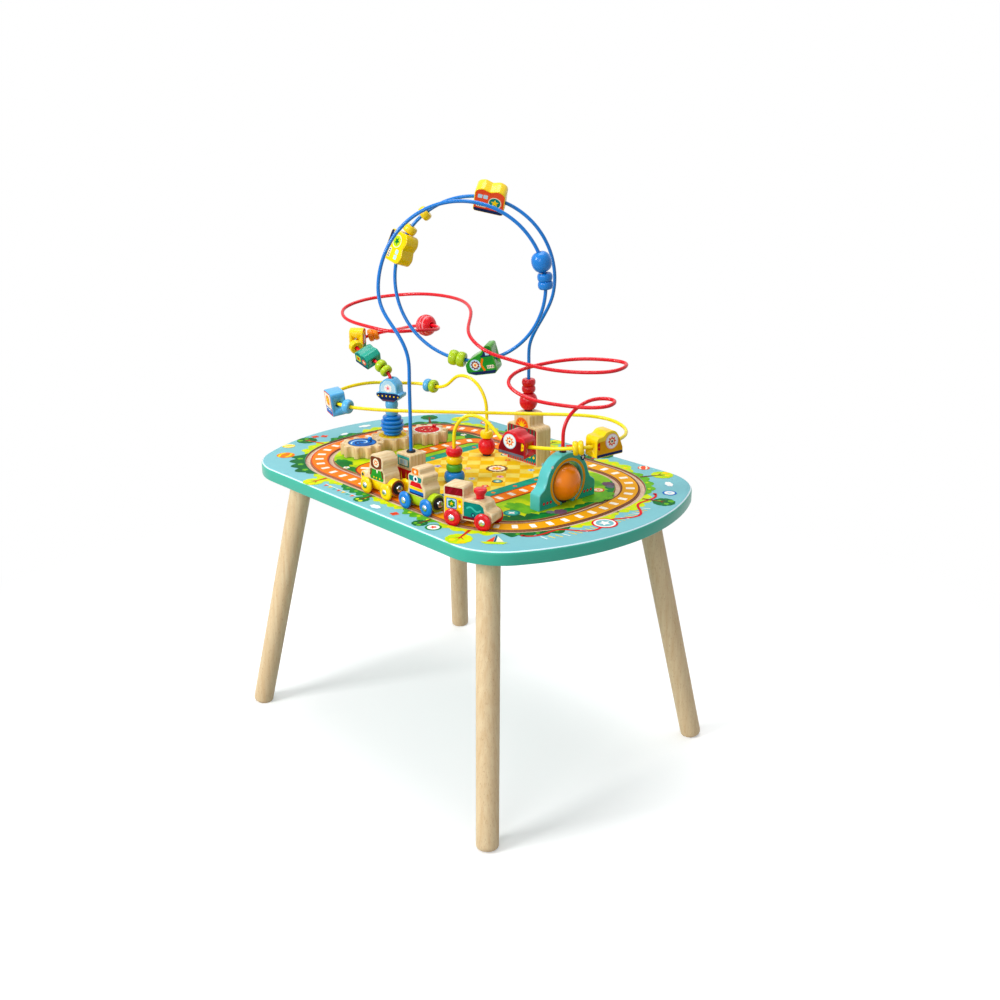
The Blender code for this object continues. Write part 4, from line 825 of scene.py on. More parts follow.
inner = insetOutline(shapes["van"], 0.001)
drilledBlock("block_green", "van", 0.024, "green", "blue", 0.62, leaning(-coilOutward(0.62), 6), 0.018, [
    ("green", inner, 0), ("navy", clipLow(inner, 0.0052), 1),
    ("navy", roundCorners([(-0.0005, 0.0245, 0.001), (0.0055, 0.0275, 0.001), (0.0098, 0.0345, 0.001),
                           (0.0165, 0.0345, 0.001), (0.0172, 0.0245, 0.001)], 3), 1),
    ("sky", panel(0.0095, 0.0262, 0.015, 0.033, 0.0008), 2),
    ("orange", bandShape([(0.0045, 0.0055), (0.001, 0.014), (0.0045, 0.0225)], 0.003), 1),
    ("sky", oval(-0.0075, 0.0145, 0.0078), 1),
    ("maroon", starShape((-0.0075, 0.0145), 0.0066, 0.0046, 9), 2),
    ("cream", oval(-0.0075, 0.0145, 0.0036), 3), ("orange", oval(-0.0075, 0.0145, 0.0018), 4),
    ("cream", panel(0.0085, 0.008, 0.0185, 0.0125, 0.0006), 2)]
    + [("navy", panel(0.0095 + k * 0.0024, 0.0088, 0.0106 + k * 0.0024, 0.0117, 0.0003), 3)
       for k in range(4)],
    -1)

inner = insetOutline(shapes["ridge"], 0.001)
drilledBlock("block_teal", "ridge", 0.026, "teal", "red", 0.061, (0.37, -0.34, 0.85), 0.0105, [
    ("teal", inner, 0), ("navy", clipLow(inner, 0.004), 1),
    ("coral", oval(-0.0062, 0.0105, 0.0046), 1),
    ("cream", starShape((-0.0062, 0.0105), 0.0036, 0.0017, 5), 2),
    ("leaf", panel(0.0015, 0.0062, 0.011, 0.015, 0.0012), 1), ("red", oval(0.0063, 0.0106, 0.0028), 2)])

inner = insetOutline(shapes["snub"], 0.001)
drilledBlock("block_yellow_short", "snub", 0.021, "yellow", "red", 0.12, (0, 0, 1), 0.012, [
    ("coral", inner, 0), ("bush", clipLow(inner, 0.007), 1),
    ("yellow", panel(-0.0085, 0.0205, 0.0085, 0.0255), 1),
    ("sky", oval(0, 0.014, 0.0062), 1), ("cream", starShape((0, 0.014), 0.0048, 0.0022, 6), 2),
    ("cream", oval(-0.006, 0.023, 0.0014), 2), ("red", oval(0.0, 0.023, 0.0014), 2),
    ("cream", oval(0.006, 0.023, 0.0014), 2)])

for node, colour, dark, low, badge, mark, lamp, distance, flip in (
        ("block_red_car", "red", "maroon", "grey", "white", "orange", "yellow", 0.126, 1),
        ("block_yellow_car", "yellow", "trackGold", "navy", "white", "coral", "red", 0.2535, -1)):
    inner = insetOutline(shapes["car"], 0.001)
    drilledBlock(node, "car", 0.024, colour, "yellow", distance, (0, 0, 1), 0.013, [
        (dark, clipLow(inner, 0.0215), 0), (low, clipLow(inner, 0.0046), 1),
        ("sky" if mark == "orange" else "pink", oval(-0.0035, 0.019, 0.01), 1),
        (badge, oval(-0.0035, 0.019, 0.009), 2), (mark, starShape((-0.0035, 0.019), 0.007, 0.0042, 8), 3),
        ("cream", oval(-0.0035, 0.019, 0.0031), 4), ("navy", oval(-0.0035, 0.019, 0.0014), 5),
        (lamp, roundCorners([(0.015, 0.0095, 0.001), (0.019, 0.012, 0.001), (0.019, 0.019, 0.001),
                             (0.015, 0.0215, 0.001)], 3), 2),
        ("orange", oval(0.017, 0.015, 0.0012), 3)], flip)

inner = insetOutline(shapes["brick"], 0.0026)
drilledBlock("block_pale_blue", "brick", 0.021, "pale", "yellow", 0.76, (0.05, -0.15, 1), 0.017, [
    ("red", insetOutline(shapes["brick"], 0.001), 0), ("cream", inner, 1),
    ("blue", clipLow(inner, 0.011), 2),
    ("orange", oval(0, 0.0215, 0.0072), 2), ("yellow", starShape((0, 0.0215), 0.006, 0.0032, 8), 3),
    ("white", bandShape([(-0.0105, 0.0075), (-0.005, 0.0095), (0.0, 0.0075), (0.005, 0.0095),
                         (0.0105, 0.0075)], 0.0014), 3)])
print("threaded blocks made")

saucer = roundCorners([
    (-0.0095, 0.0, 0.002), (-0.0205, 0.0085, 0.004), (-0.0195, 0.013, 0.0015), (-0.015, 0.0125, 0.002),
    (-0.014, 0.026, 0.01), (-0.005, 0.0343, 0.008), (0.005, 0.0343, 0.008), (0.014, 0.026, 0.01),
    (0.015, 0.0125, 0.002), (0.0195, 0.013, 0.0015), (0.0205, 0.0085, 0.004), (0.0095, 0.0, 0.002)], 7)
saucerSeat = post(spots["gear"], 0.0693) @ Matrix.Rotation(math.radians(24), 4, "Z")
piece = board("saucerSawn", saucer, 0.02, saucerSeat, paint["pale"], "saucer_block", sawnEdge,
              [(saucerSeat, blockBore, -0.01, 0.05, paint["pale"])])
standFor(piece, "saucer_block")
inner = insetOutline(saucer, 0.0008)
dome = clipHigh(inner, 0.0135)
printBoth("saucer", saucerSeat, 0.02, "saucer_block", "saucer_block", [
    ("navy", clipLow(inner, 0.013), 0), ("plum", clipLow(inner, 0.003), 1),
    ("sky", insetOutline(dome, 0.0012), 0), ("white", lobedShape((0, 0.0205), 0.0062, 6, 0.12), 1),
    ("pink", starShape((0, 0.0205), 0.0046, 0.0021, 5), 2),
    ("coral", oval(0, 0.0205, 0.0012), 3)]
    + [("yellow", oval(x, 0.0088 - abs(x) * 0.03, 0.0012, 1.0, 14), 2)
       for x in (-0.016, -0.0096, -0.0032, 0.0032, 0.0096, 0.016)])
print("saucer made")

gear = {"teeth": 10, "thick": 0.0165, "pitch": 0.0575, "tip": 0.0318, "root": 0.0243, "gap": 0.0003,
        "edge": 0.0007, "disc": 0.0208, "knob": 0.0165, "pressure": math.radians(20), "play": 0.0004,
        "turned": math.radians(4), "pin": 0.003}


def gearOutline(firstTooth, flankSteps=6):
    # involute flanks between a rounded root and a rounded tip; angle = tooth width less the unrolled arc
    base = gear["pitch"] / 2 * math.cos(gear["pressure"])
    half = math.pi / gear["teeth"] / 2 - gear["play"] / (gear["pitch"] / 2)
    rolled = math.tan(gear["pressure"]) - gear["pressure"]
    radii = np.linspace(base + 0.0002, gear["tip"] - 0.0012, flankSteps)
    angles = np.arccos(base / radii)
    offsets = half + rolled - (np.tan(angles) - angles)
    step = math.pi / gear["teeth"]
    radii = np.concatenate([[gear["root"], gear["root"] + 0.0002, gear["root"] + 0.0008], radii,
                            [gear["tip"] - 0.0004, gear["tip"]]])
    offsets = np.concatenate([[step * 0.84, step * 0.72, step * 0.64], offsets,
                              [offsets[-1] - 0.001 / gear["tip"], offsets[-1] - 0.0024 / gear["tip"]]])
    centres = firstTooth + np.arange(gear["teeth"]) * math.tau / gear["teeth"]
    reach = np.concatenate([radii, radii[::-1]])
    swing = np.concatenate([-offsets, offsets[::-1]])
    turn = (centres[:, None] + swing[None]).ravel()
    return np.tile(reach, gear["teeth"])[:, None] * onCircle(turn)


def spiralBand(turns, start, inner, outer, width, count=60):
    # a ribbon along r = inner + (outer - inner) * share, turning evenly
    share = np.linspace(0, 1, count)
    angle = start + share * turns * math.tau
    reach = inner + (outer - inner) * share
    return bandShape(reach[:, None] * onCircle(angle), width)


def annulus(inner, outer, count=48):
    # a ring as one outline with a hairline seam
    ring = onCircle(np.linspace(0, math.tau, count))
    return np.vstack([ring * outer, ring[::-1] * inner])


def gearPicture(node):
    # a swirl of three arms, a round with a ring of dots, or a ring of petals
    disc = gear["disc"]
    if node == "gear_blue":
        return ([("blue", oval(0, 0, disc, 1, 56), 0), ("navy", annulus(disc * 0.93, disc), 1)]
                + [("navy" if k else "sky", spiralBand(0.72, k * math.tau / 3, 0.0035, 0.017, 0.0024), 1)
                   for k in range(3)])
    if node == "gear_red":
        return ([("white", starShape((0, 0), 0.0228, 0.019, 18), 0), ("red", oval(0, 0, 0.0188, 1, 56), 1),
                 ("coral", annulus(0.0108, 0.0122), 2)]
                + [("cream", oval(*0.0075 * onCircle(k * math.tau / 6), 0.0013, 1, 14), 2)
                   for k in range(6)])
    petal = starShape((0, 0), 0.005, 0.0018, 2, 0) * 0.55 + [0.0178, 0]
    picture = [("yellow", annulus(0.004, disc, 60), 0)]
    for angle in np.arange(12) * math.tau / 12:
        picture += [("orange", petal @ spin(angle), 1),
                    ("red", oval(*0.0135 * onCircle(angle + 0.26), 0.0013, 1, 12), 1)]
    return picture


gearSpots = {"gear_middle": (np.array(spots["gear"]), gear["turned"], None)}
for node, bearing in (("gear_blue", -88.0), ("gear_red", 77.0)):
    heading = math.radians(bearing)
    gearSpots[node] = (np.array(spots["gear"]) + gear["pitch"] * onCircle(heading),
                       math.radians(2 * bearing + 180 - 180 / gear["teeth"]) - gear["turned"], 100)
for node, (centre, firstTooth, knobBearing) in gearSpots.items():
    stand = post(centre, gear["gap"])
    outline = gearOutline(firstTooth)
    rows = []
    for inset, height in ((gear["edge"], 0), (gear["edge"] * 0.3, gear["edge"] * 0.3), (0, gear["edge"]),
                          (0, gear["thick"] - gear["edge"]),
                          (gear["edge"] * 0.3, gear["thick"] - gear["edge"] * 0.3),
                          (gear["edge"], gear["thick"])):
        flat = insetOutline(outline, inset)
        rows.append(np.column_stack([flat, np.full(len(flat), height)]))
    bores = [(stand, gear["pin"], -0.01, 0.03, beechUp)] if knobBearing is None else ()
    piece = gridMesh(node + "Sawn", moved(np.array(rows), stand), beechUp, node, bores=bores)
    standFor(piece, node)
    face = stand @ Matrix.Translation((0, 0, gear["thick"]))
    if knobBearing is not None:
        pin = latheSolid(node + "Pin", [(gear["pin"], -0.01), (gear["pin"], 0.0005)], stand, steel,
                         node, 20)
        knobAt = face @ Matrix.Translation((*gear["knob"] * onCircle(math.radians(knobBearing)), 0))
        knob = latheSolid(node + "Knob",
                          [(0.003, 0.0), (0.0032, 0.0004), (0.0032, 0.0026), (0.0029, 0.0035),
                                          (0.002, 0.0041), (0.0008, 0.0042)], knobAt,
                          paint["blue" if node == "gear_blue" else "red"], node, 24)
    for colour, outline, level in gearPicture(node):
        decal(node, colour, outline, level, face, node, node)
print("gears made")


def grommet(name, spot, height, outer, tall, body="table", inner=0.0027):
    # a black rubber collar where a wire leaves its hole
    profile = [(inner, 0.0), (outer, 0.0), (outer, tall * 0.5), (outer - 0.0006, tall),
               (inner + 0.0004, tall), (inner, tall - 0.0003)]
    piece = latheClosed(name, profile, post(spot, height), rubber, body, 28)
    return piece


def standBlock(node, outline, thickness, centre, edge, turn=0.0, materials=None, bores=()):
    # a sawn block that is fixed upright on the table top; returns its seat
    seat = post(centre, 0.0003) @ Matrix.Rotation(turn, 4, "Z")
    piece = board(node + "Sawn", outline, thickness, seat, materials or beechUp, "table", edge, bores)
    standFor(piece, node)
    return seat


booth = {"thick": 0.027, "skirt": 0.022, "body": 0.0145, "tall": 0.0467, "skirtHigh": 0.027}
skirt, half, tall, low = booth["skirt"], booth["body"], booth["tall"], booth["skirtHigh"]
outline = roundCorners([
    (-skirt * 0.68, 0, 0.001), (-skirt, low - 0.001, 0.002), (-half, low + 0.002, 0.001),
    (-half, tall, 0.002), (half, tall, 0.002), (half, low + 0.002, 0.001), (skirt, low - 0.001, 0.002),
    (skirt * 0.68, 0, 0.001)], 5)
seat = standBlock("booth_block", outline, booth["thick"], spots["booth"], 0.0008)
inner = insetOutline(outline, 0.0016)
art = [("red", clipLow(inner, 0.0262), 0), ("teal", panel(-0.0118, 0.0295, 0.0118, 0.044, 0.0012), 0),
       ("tealLight", panel(-0.0128, 0.0405, 0.0128, 0.044, 0.0008), 1),
       ("cream", panel(-0.0092, 0.0312, 0.0092, 0.0398, 0.0008), 1),
       ("sky", panel(-0.0076, 0.0322, -0.0006, 0.039, 0.0006), 2),
       ("sky", panel(0.0006, 0.0322, 0.0076, 0.039, 0.0006), 2)]
for x in (-0.0128, -0.0043, 0.0043, 0.0128):
    art.append(("yellow", [(x * 1.02 - 0.0028, 0.0018), (x * 1.02 + 0.0028, 0.0018), (x * 1.25, 0.024)], 1))
printBoth("booth", seat, booth["thick"], "table", "booth_block", art)
grommet("boothGrommet", spots["booth"], blockTop["booth"], 0.0062, 0.0024)

castle = {"thick": 0.027, "wall": 0.031, "tower": 0.016, "shoulder": 0.0555, "tall": 0.0738}
wall, tower, shoulder, tall = castle["wall"], castle["tower"], castle["shoulder"], castle["tall"]
outline = roundCorners([
    (-wall, 0, 0), (-wall, shoulder, 0.006), (-tower, shoulder, 0.003), (-tower, tall, 0.006),
    (tower, tall, 0.006), (tower, shoulder, 0.003), (wall, shoulder, 0.006), (wall, 0, 0)], 7)
castleCentre, sunFoot = (0.0235, 0.0925), (0, 0.0536)      # the half sun over the wall starts there
seat = standBlock("castle_block", outline, castle["thick"], castleCentre, 0.001)
inner = insetOutline(outline, 0.0016)
wallFace = clipLow(insetOutline(outline, 0.0022), 0.053)
art = [("crimson", wallFace, 0), ("teal", clipLow(wallFace, 0.0185), 2)]
for k in range(8):
    x = -0.0245 + k * 0.007
    art.append(("rugShade", panel(x - 0.0013, 0.02, x + 0.0013, 0.0524, 0.0003), 1))
for colour, radius, level in (("orange", 0.013, 2), ("coral", 0.0112, 3), ("yellow", 0.0036, 5)):
    art.append((colour, np.vstack([oval(*sunFoot, radius, 1, 48)[:25], [sunFoot]]), level))
ray = np.array([(0.003, -0.0012), (0.0112, 0.0), (0.003, 0.0012)])
for k in range(1, 6):
    art.append(("yellow", ray @ spin(math.pi * k / 6) + sunFoot, 4))
for k in range(12):
    x = -0.027 + k * 0.0049
    art.append(("red", np.array([(x - 0.0022, 0.0022), (x + 0.0022, 0.0022), (x, 0.0068)]), 3))
art.append(("cream", panel(-0.0088, 0.019, 0.0088, 0.0215, 0.0004), 3))
for k in range(7):
    x = -0.0243 + k * 0.0081
    art.append((("yellow", "orange", "leaf")[k % 3], oval(x, 0.0125, 0.0021, 1, 18), 3))
for colour, high, wide, level in (("cream", 0.033, 0.007, 2), ("navy", 0.0325, 0.0054, 3)):
    art.append(
        (colour, np.vstack([oval(0, high, wide, 1, 32)[:17], [(-wide, 0.0215), (wide, 0.0215)]]), level))
art.append(("yellow", starShape((0, 0.029), 0.0034, 0.0015, 5), 4))
printBoth("castle", seat, castle["thick"], "table", "castle_block", art)
grommet("castleGrommet", spots["castle"], blockTop["castle"], 0.0056, 0.0012)

arch = {"thick": 0.0175, "crown": 0.0388, "crownHigh": 0.028, "mouth": 0.0268, "foot": 0.0512,
        "footHigh": 0.02, "edge": 0.0012}
left = roundCorners([(-arch["foot"], 0, 0), (-arch["foot"], arch["footHigh"] + 0.0012, 0.006),
                     (-0.042, 0.0275, 0.006), (-0.0385, 0.0345, 0)], 6)
middle = np.array([0, arch["crownHigh"]])
crown = middle + arch["crown"] * onCircle(np.radians(np.linspace(168, 12, 40)))
right = left[::-1] * [-1, 1]
mouthX = arch["mouth"] * math.cos(math.radians(-68))
opening = middle + arch["mouth"] * onCircle(np.radians(np.linspace(-68, 248, 72)))
outline = np.vstack([left[:-1], crown, right[1:], [(mouthX, 0)], opening, [(-mouthX, 0)]])
archSpot = (0.1787, 0.003)
hole = (post(spots["arch"], 0), 0.0027, 0.05, 0.08, paint["teal"])
seat = standBlock("arch_block", outline, arch["thick"], archSpot, arch["edge"], math.pi / 2,
                  [paint["teal"], paint["archPale"]], [hole])
ringOut, ringIn = arch["mouth"] + 0.0052, arch["mouth"] + 0.0014
ring = onCircle(np.radians(np.linspace(-62, 242, 90)))
art = [("trackGold", np.vstack([ring * ringOut, ring[::-1] * ringIn]) + middle, 0)]
for side in (-1, 1):
    for k in range(3):
        art.append(("red", oval(side * (0.031 + k * 0.0062), 0.0085, 0.0019, 1, 20), 1))
art += [("navy", oval(0.027, 0.0562, 0.0046, 0.9, 24), 1),
        ("white", starShape((0.027, 0.0562), 0.0032, 0.0014, 5), 2),
        ("white", oval(-0.029, 0.054, 0.0022, 1, 20), 1)]
printBoth("arch", seat, arch["thick"], "table", "arch_block", art)
grommet("archGrommet", spots["arch"], blockTop["arch"], 0.0046, 0.0016, inner=0.0025)
grommet("archBallCollar", spots["arch"], 0.0001, 0.006, 0.0028)
grommet("yellowEndCollar", spots["yellowEnd"], 0.0001, 0.0062, 0.0016)
print("standing blocks made")

train = {"wheel": 0.0112, "gauge": 0.033, "groove": 0.0022, "base": 0.042, "axle": 0.0016, "thick": 0.025,
         "rearX": -0.0048, "pitch": 0.0817, "round": 0.0116, "middle": 0.0122, "front": 0.0257,
         "rear": 0.0268, "flat": 0.0178, "flatEnd": 0.01645, "cup": 0.0083, "magnet": 0.0044, "reach": 0.0048,
         "trackY": -0.143, "corner": (0.125, -0.039), "cornerRadius": 0.104, "heading": 20.0}
axleHigh = train["wheel"] - train["groove"] + 0.0003
corner = Vector((*train["corner"], topZ))
engineReach = math.sqrt(train["cornerRadius"] ** 2 - (train["base"] / 2) ** 2)
seats = {"rear_car": Matrix.Translation((train["rearX"], train["trackY"], topZ)),
         "middle_car": Matrix.Translation((train["rearX"] + train["pitch"], train["trackY"], topZ)),
         "engine": Matrix.Translation(corner) @ Matrix.Rotation(math.radians(train["heading"]), 4, "Z")
         @ Matrix.Translation((0, -engineReach, 0))}


def axleSeat(car, side):
    # where an axle crosses its car, at its rear (-1) or front (1)
    return seats[car] @ Matrix.Translation((side * train["base"] / 2, 0, axleHigh)) @ sideways


def axleBores(car, material):
    # the holes of both axles, 0.6 mm wider in radius than the axle
    return [(axleSeat(car, side), train["axle"] + 0.0006, -0.03, 0.03, material) for side in (-1, 1)]


def carBase(car, colour, shadedEndColour, rearPlate):
    # a turned bar planed flat under its figure: height = min(round surface, flat) along the seat
    r, front, rear = train["round"], train["front"], -train["rear"]
    flatEnd = train["flatEnd"]
    profile = [(0.0005, rear)] + [(r - 0.001 + 0.001 * math.sin(t), rear + 0.001 - 0.001 * math.cos(t))
                                  for t in np.linspace(0, math.pi / 2, 5)]
    profile += [(r, x) for x in np.linspace(rear + 0.003, flatEnd - 0.001, 10)]
    profile += [(r, flatEnd - 0.00005), (r, flatEnd + 0.00005)]
    profile += [(r - 0.001 + 0.001 * math.cos(t), front - 0.001 + 0.001 * math.sin(t))
                for t in np.linspace(0, math.pi / 2, 5)]
    profile += [(train["cup"] + 0.0001, front), (0.0005, front)]
    lay = Matrix.Translation((0, 0, train["middle"])) @ layDown
    grid = latheGrid(profile, 64, lay)
    planed = grid[..., 0] < flatEnd
    grid[..., 2] = np.where(planed, np.minimum(grid[..., 2], train["flat"]), grid[..., 2])
    # the end face takes the darker end colour: painted shade
    slots = [0] * (len(profile) - 1)
    slots[-2:] = [1, 1]
    piece = gridMesh(car + "BaseTurned", moved(grid, seats[car]), [paint[colour], paint[shadedEndColour]], car,
                     slots=slots, sharp=30,
                     bores=axleBores(car, paint[colour]))
    standFor(piece, car + "_base")
    lay = seats[car] @ lay
    cup = [(train["cup"] - 0.0002, front - 0.0002), (train["cup"], front + 0.0006),
           (train["cup"] - 0.0003, front + 0.0008), (train["cup"] - 0.0014, front + 0.0008),
           (train["cup"] - 0.002, front + 0.0003), (0.004, front + 0.0003)]
    slug = [(train["magnet"], front), (train["magnet"], front + train["reach"] - 0.0006),
            (train["magnet"] - 0.0002, front + train["reach"] - 0.0002),
            (train["magnet"] - 0.0007, front + train["reach"]), (0.0004, front + train["reach"])]
    parts = [latheSolid(car + "MagnetCup", cup, lay, rubber, car, 40),
             latheSolid(car + "Magnet", slug, lay, magnetSteel, car, 36)]
    if rearPlate:
        plate = [(0.0004, rear - 0.0015), (train["magnet"] - 0.0006, rear - 0.0015),
                 (train["magnet"], rear - 0.001), (train["magnet"], rear + 0.0002)]
        parts.append(latheSolid(car + "MagnetPlate", plate, lay, magnetSteel, car, 36))


def wheelset(car, end, side, colour):
    # both wheels, their axle and domed caps as one turned outline, mirrored about the axle's middle
    r, inner, outer, hub = train["wheel"], 0.014, 0.019, 0.0042
    rimIn, rimOut = train["gauge"] / 2 - 0.0014, train["gauge"] / 2 + 0.0014
    half = [(train["axle"], 0.0005, 1), (train["axle"], inner, 0), (r - 0.0036, inner, 0),
            (r - 0.0026, inner + 0.0003, 0), (r - 0.0004, rimIn, 0), (r, rimIn + 0.0004, 0),
            (r, rimOut - 0.0004, 0), (r - 0.0004, rimOut, 0),
            (r - 0.0024, outer - 0.0004, 0), (r - 0.0032, outer, 0), (r - 0.004, outer, 0),
            (r - 0.0046, outer - 0.0006, 0), (hub + 0.0006, outer - 0.0006, 0), (hub, outer - 0.0004, 1),
            (hub, outer + 0.0001, 1), (hub * 0.93, outer + 0.0005, 1), (hub * 0.72, outer + 0.0009, 1),
            (hub * 0.42, outer + 0.00115, 1), (0.0004, outer + 0.0012, 1)]
    rows = ([(radius, -height) for radius, height, _ in reversed(half)]
            + [(radius, height) for radius, height, _ in half])
    bands = [slot for _, _, slot in half[:-1]]
    slots = bands[::-1] + [1] + bands
    name = f"wheels_{car}_{end}"
    piece = latheSolid(name + "Turned", rows, axleSeat(car, side), [paint[colour], steel], name, 48,
                       slots, 32)
    standFor(piece, name)


for car, colour, shadedEndColour in (("rear_car", "yellow", "amber"), ("middle_car", "lime", "limeInShade")):
    carBase(car, colour, shadedEndColour, car == "middle_car")
for car, colour in (("rear_car", "yellow"), ("middle_car", "blue"), ("engine", "red")):
    for end, side in (("rear", -1), ("front", 1)):
        wheelset(car, end, side, colour)
print("train bases and wheels made")

chimney = {"x": 0.0095, "foot": 0.0338, "peg": 0.0023, "deep": 0.0058}
figures = {
    "rear_car_figure": roundCorners([
        (-0.0275, 0.018, 0), (-0.0275, 0.008, 0), (-0.0365, 0.008, 0.003), (-0.0385, 0.019, 0.006),
        (-0.035, 0.0265, 0.005), (-0.027, 0.025, 0.004), (-0.0225, 0.023, 0.004), (-0.0185, 0.034, 0.006),
        (-0.0145, 0.053, 0.006), (0.003, 0.0555, 0.006), (0.0125, 0.047, 0.005),
        (0.0095, 0.037, 0.006), (0.0145, 0.028, 0.005), (0.0155, 0.018, 0)], 6),
    "middle_car_figure": roundCorners([
        (-0.0205, 0.018, 0), (-0.0175, 0.03, 0.006), (-0.019, 0.044, 0.005), (-0.0115, 0.0475, 0.002),
        (-0.0115, 0.0555, 0.004), (0.0045, 0.0555, 0.004), (0.006, 0.048, 0.002), (0.013, 0.0465, 0.003),
        (0.01, 0.0375, 0.004), (0.0155, 0.0285, 0.005), (0.0145, 0.018, 0)], 6),
    "engine_body": roundCorners([
        (-0.035, 0.0065, 0.002), (-0.035, 0.049, 0.004), (-0.0065, 0.049, 0.004),
        (-0.0065, 0.034, 0.003), (0.0165, 0.0335, 0.005), (0.0225, 0.03, 0.004),
        (0.0252, 0.0225, 0.003), (0.032, 0.019, 0.004), (0.0332, 0.01, 0.004), (0.0295, 0.0065, 0.002)], 6)}
for node, car in (("rear_car_figure", "rear_car"), ("middle_car_figure", "middle_car"),
                  ("engine_body", "engine")):
    bores = axleBores(car, beechUp) if car == "engine" else []
    if car == "engine":
        bores.append((seats[car] @ Matrix.Translation((chimney["x"], 0, 0)), 0.0027, 0.027, 0.05, beechUp))
    piece = board(node + "Sawn", figures[node], train["thick"], seats[car], beechFigure, car, sawnEdge,
                  bores)
    standFor(piece, node)

body = insetOutline(figures["rear_car_figure"], 0.0013)
printBoth("rearFigure", seats["rear_car"], train["thick"], "rear_car", "rear_car_figure", [
    ("green", panel(-0.0165, 0.0195, 0.0118, 0.0335, 0.003), 1),
    ("cream", roundCorners([(-0.0035, 0.0335, 0.001), (0.001, 0.0335, 0.001),
                            (-0.0012, 0.027, 0.001)], 4), 2),
    ("trunkBrown", roundCorners([(-0.0178, 0.024, 0.002), (-0.0145, 0.0345, 0.002), (-0.012, 0.033, 0.002),
                                 (-0.014, 0.0235, 0.002)], 4), 2),
    ("trunkBrown", roundCorners([(0.0125, 0.024, 0.002), (0.0095, 0.035, 0.002), (0.007, 0.0335, 0.002),
                                 (0.0095, 0.0235, 0.002)], 4), 2),
    ("trunkBrown", roundCorners([(-0.014, 0.036, 0.004), (-0.015, 0.0505, 0.004), (0.0085, 0.052, 0.004),
                                 (0.0085, 0.0365, 0.004), (-0.003, 0.034, 0.004)], 6), 1),
    ("cream", oval(-0.003, 0.043, 0.0062, 0.95), 2),
    ("orange", starShape((-0.003, 0.043), 0.0052, 0.0026, 8), 3),
    ("cream", oval(-0.003, 0.043, 0.0017), 4), ("yellow", oval(-0.003, 0.0225, 0.0013, 1, 16), 2),
    ("yellow", oval(-0.0085, 0.0225, 0.0013, 1, 16), 2), ("yellow", oval(0.004, 0.0225, 0.0013, 1, 16), 2),
    ("yellow", roundCorners([(-0.0292, 0.0095, 0.0006), (-0.0352, 0.0095, 0.002), (-0.0368, 0.019, 0.005),
                             (-0.034, 0.0248, 0.003), (-0.0292, 0.0236, 0.0008)], 4), 1),
    ("navy", oval(-0.033, 0.0205, 0.002, 1.2, 18), 2), ("navy", oval(-0.0312, 0.014, 0.0013, 1.6, 18), 2)])
printBoth("middleFigure", seats["middle_car"], train["thick"], "middle_car", "middle_car_figure", [
    ("blue", panel(-0.016, 0.0195, 0.0118, 0.0255, 0.001), 1),
    ("navy", panel(-0.016, 0.0195, 0.0118, 0.0215, 0.0008), 2),
    ("yellow", panel(-0.015, 0.0258, 0.0105, 0.0295, 0.001), 1),
    ("red", roundCorners([(-0.015, 0.03, 0.001), (0.01, 0.03, 0.001), (0.006, 0.0365, 0.002),
                          (-0.011, 0.0365, 0.002)], 4), 1),
    ("teal", roundCorners([(-0.016, 0.037, 0.002), (-0.0165, 0.044, 0.002), (0.0095, 0.044, 0.002),
                           (0.007, 0.037, 0.002)], 4), 1),
    ("white", oval(-0.003, 0.0405, 0.0046, 0.9), 2), ("navy", oval(-0.003, 0.0405, 0.0022), 3),
    ("orange", panel(-0.01, 0.0462, 0.003, 0.054, 0.002), 1),
    ("cream", starShape((-0.0035, 0.05), 0.0034, 0.0015, 5), 2)])
engineArt = [
    ("maroon", panel(-0.033, 0.0368, -0.0082, 0.0468, 0.0012), 0),
    ("crimson", [(-0.03, 0.0378), (-0.0262, 0.0378), (-0.0214, 0.0458), (-0.0252, 0.0458)], 1),
    ("crimson", [(-0.019, 0.0378), (-0.0175, 0.0378), (-0.0127, 0.0458), (-0.0142, 0.0458)], 1),
    ("maroon", panel(-0.008, 0.0086, 0.008, 0.0122, 0.0008), 1),
    ("yellow", panel(-0.0335, 0.0135, -0.0085, 0.0345, 0.0016), 0),
    ("blue", panel(-0.031, 0.019, -0.0165, 0.0325, 0.0014), 1),
    ("sky", panel(-0.03, 0.02, -0.0175, 0.0315, 0.001), 2),
    ("green", lobedShape((-0.0237, 0.0255), 0.0052, 6, 0.2), 3),
    ("yellow", starShape((-0.0237, 0.0255), 0.003, 0.0013, 5), 4),
    ("orange", oval(-0.0125, 0.0295, 0.002, 1, 20), 1), ("white", oval(-0.0125, 0.0235, 0.0016, 1, 18), 1),
    ("teal", roundCorners([(-0.007, 0.0095, 0.0015), (-0.007, 0.031, 0.002), (0.015, 0.0305, 0.004),
                           (0.02, 0.027, 0.004), (0.0215, 0.0185, 0.003), (0.0275, 0.0165, 0.003),
                           (0.0285, 0.011, 0.002), (0.026, 0.0095, 0.0015)], 5), 0),
    ("tealLight", bandShape(np.column_stack([np.linspace(-0.003, 0.0165, 16),
                                             0.0225 + 0.0024 * np.sin(np.linspace(0, math.tau, 16))]),
                            0.0022), 1),
    ("navy", oval(0.006, 0.015, 0.0028, 1, 24), 1), ("tealLight", oval(0.006, 0.015, 0.0014, 1, 18), 2),
    ("navy", bandShape([(-0.002, 0.0115), (0.024, 0.0115)], 0.001), 1)]
printBoth("engine", seats["engine"], train["thick"], "engine", "engine_body", engineArt)
chimneyRows = [(chimney["peg"], -chimney["deep"]), (chimney["peg"], -0.0001), (0.005, 0), (0.0053, 0.0008),
               (0.0054, 0.003), (0.0061, 0.0055), (0.0076, 0.0076), (0.0081, 0.0088), (0.0082, 0.011),
               (0.0079, 0.012), (0.0071, 0.0125), (0.0006, 0.0125)]
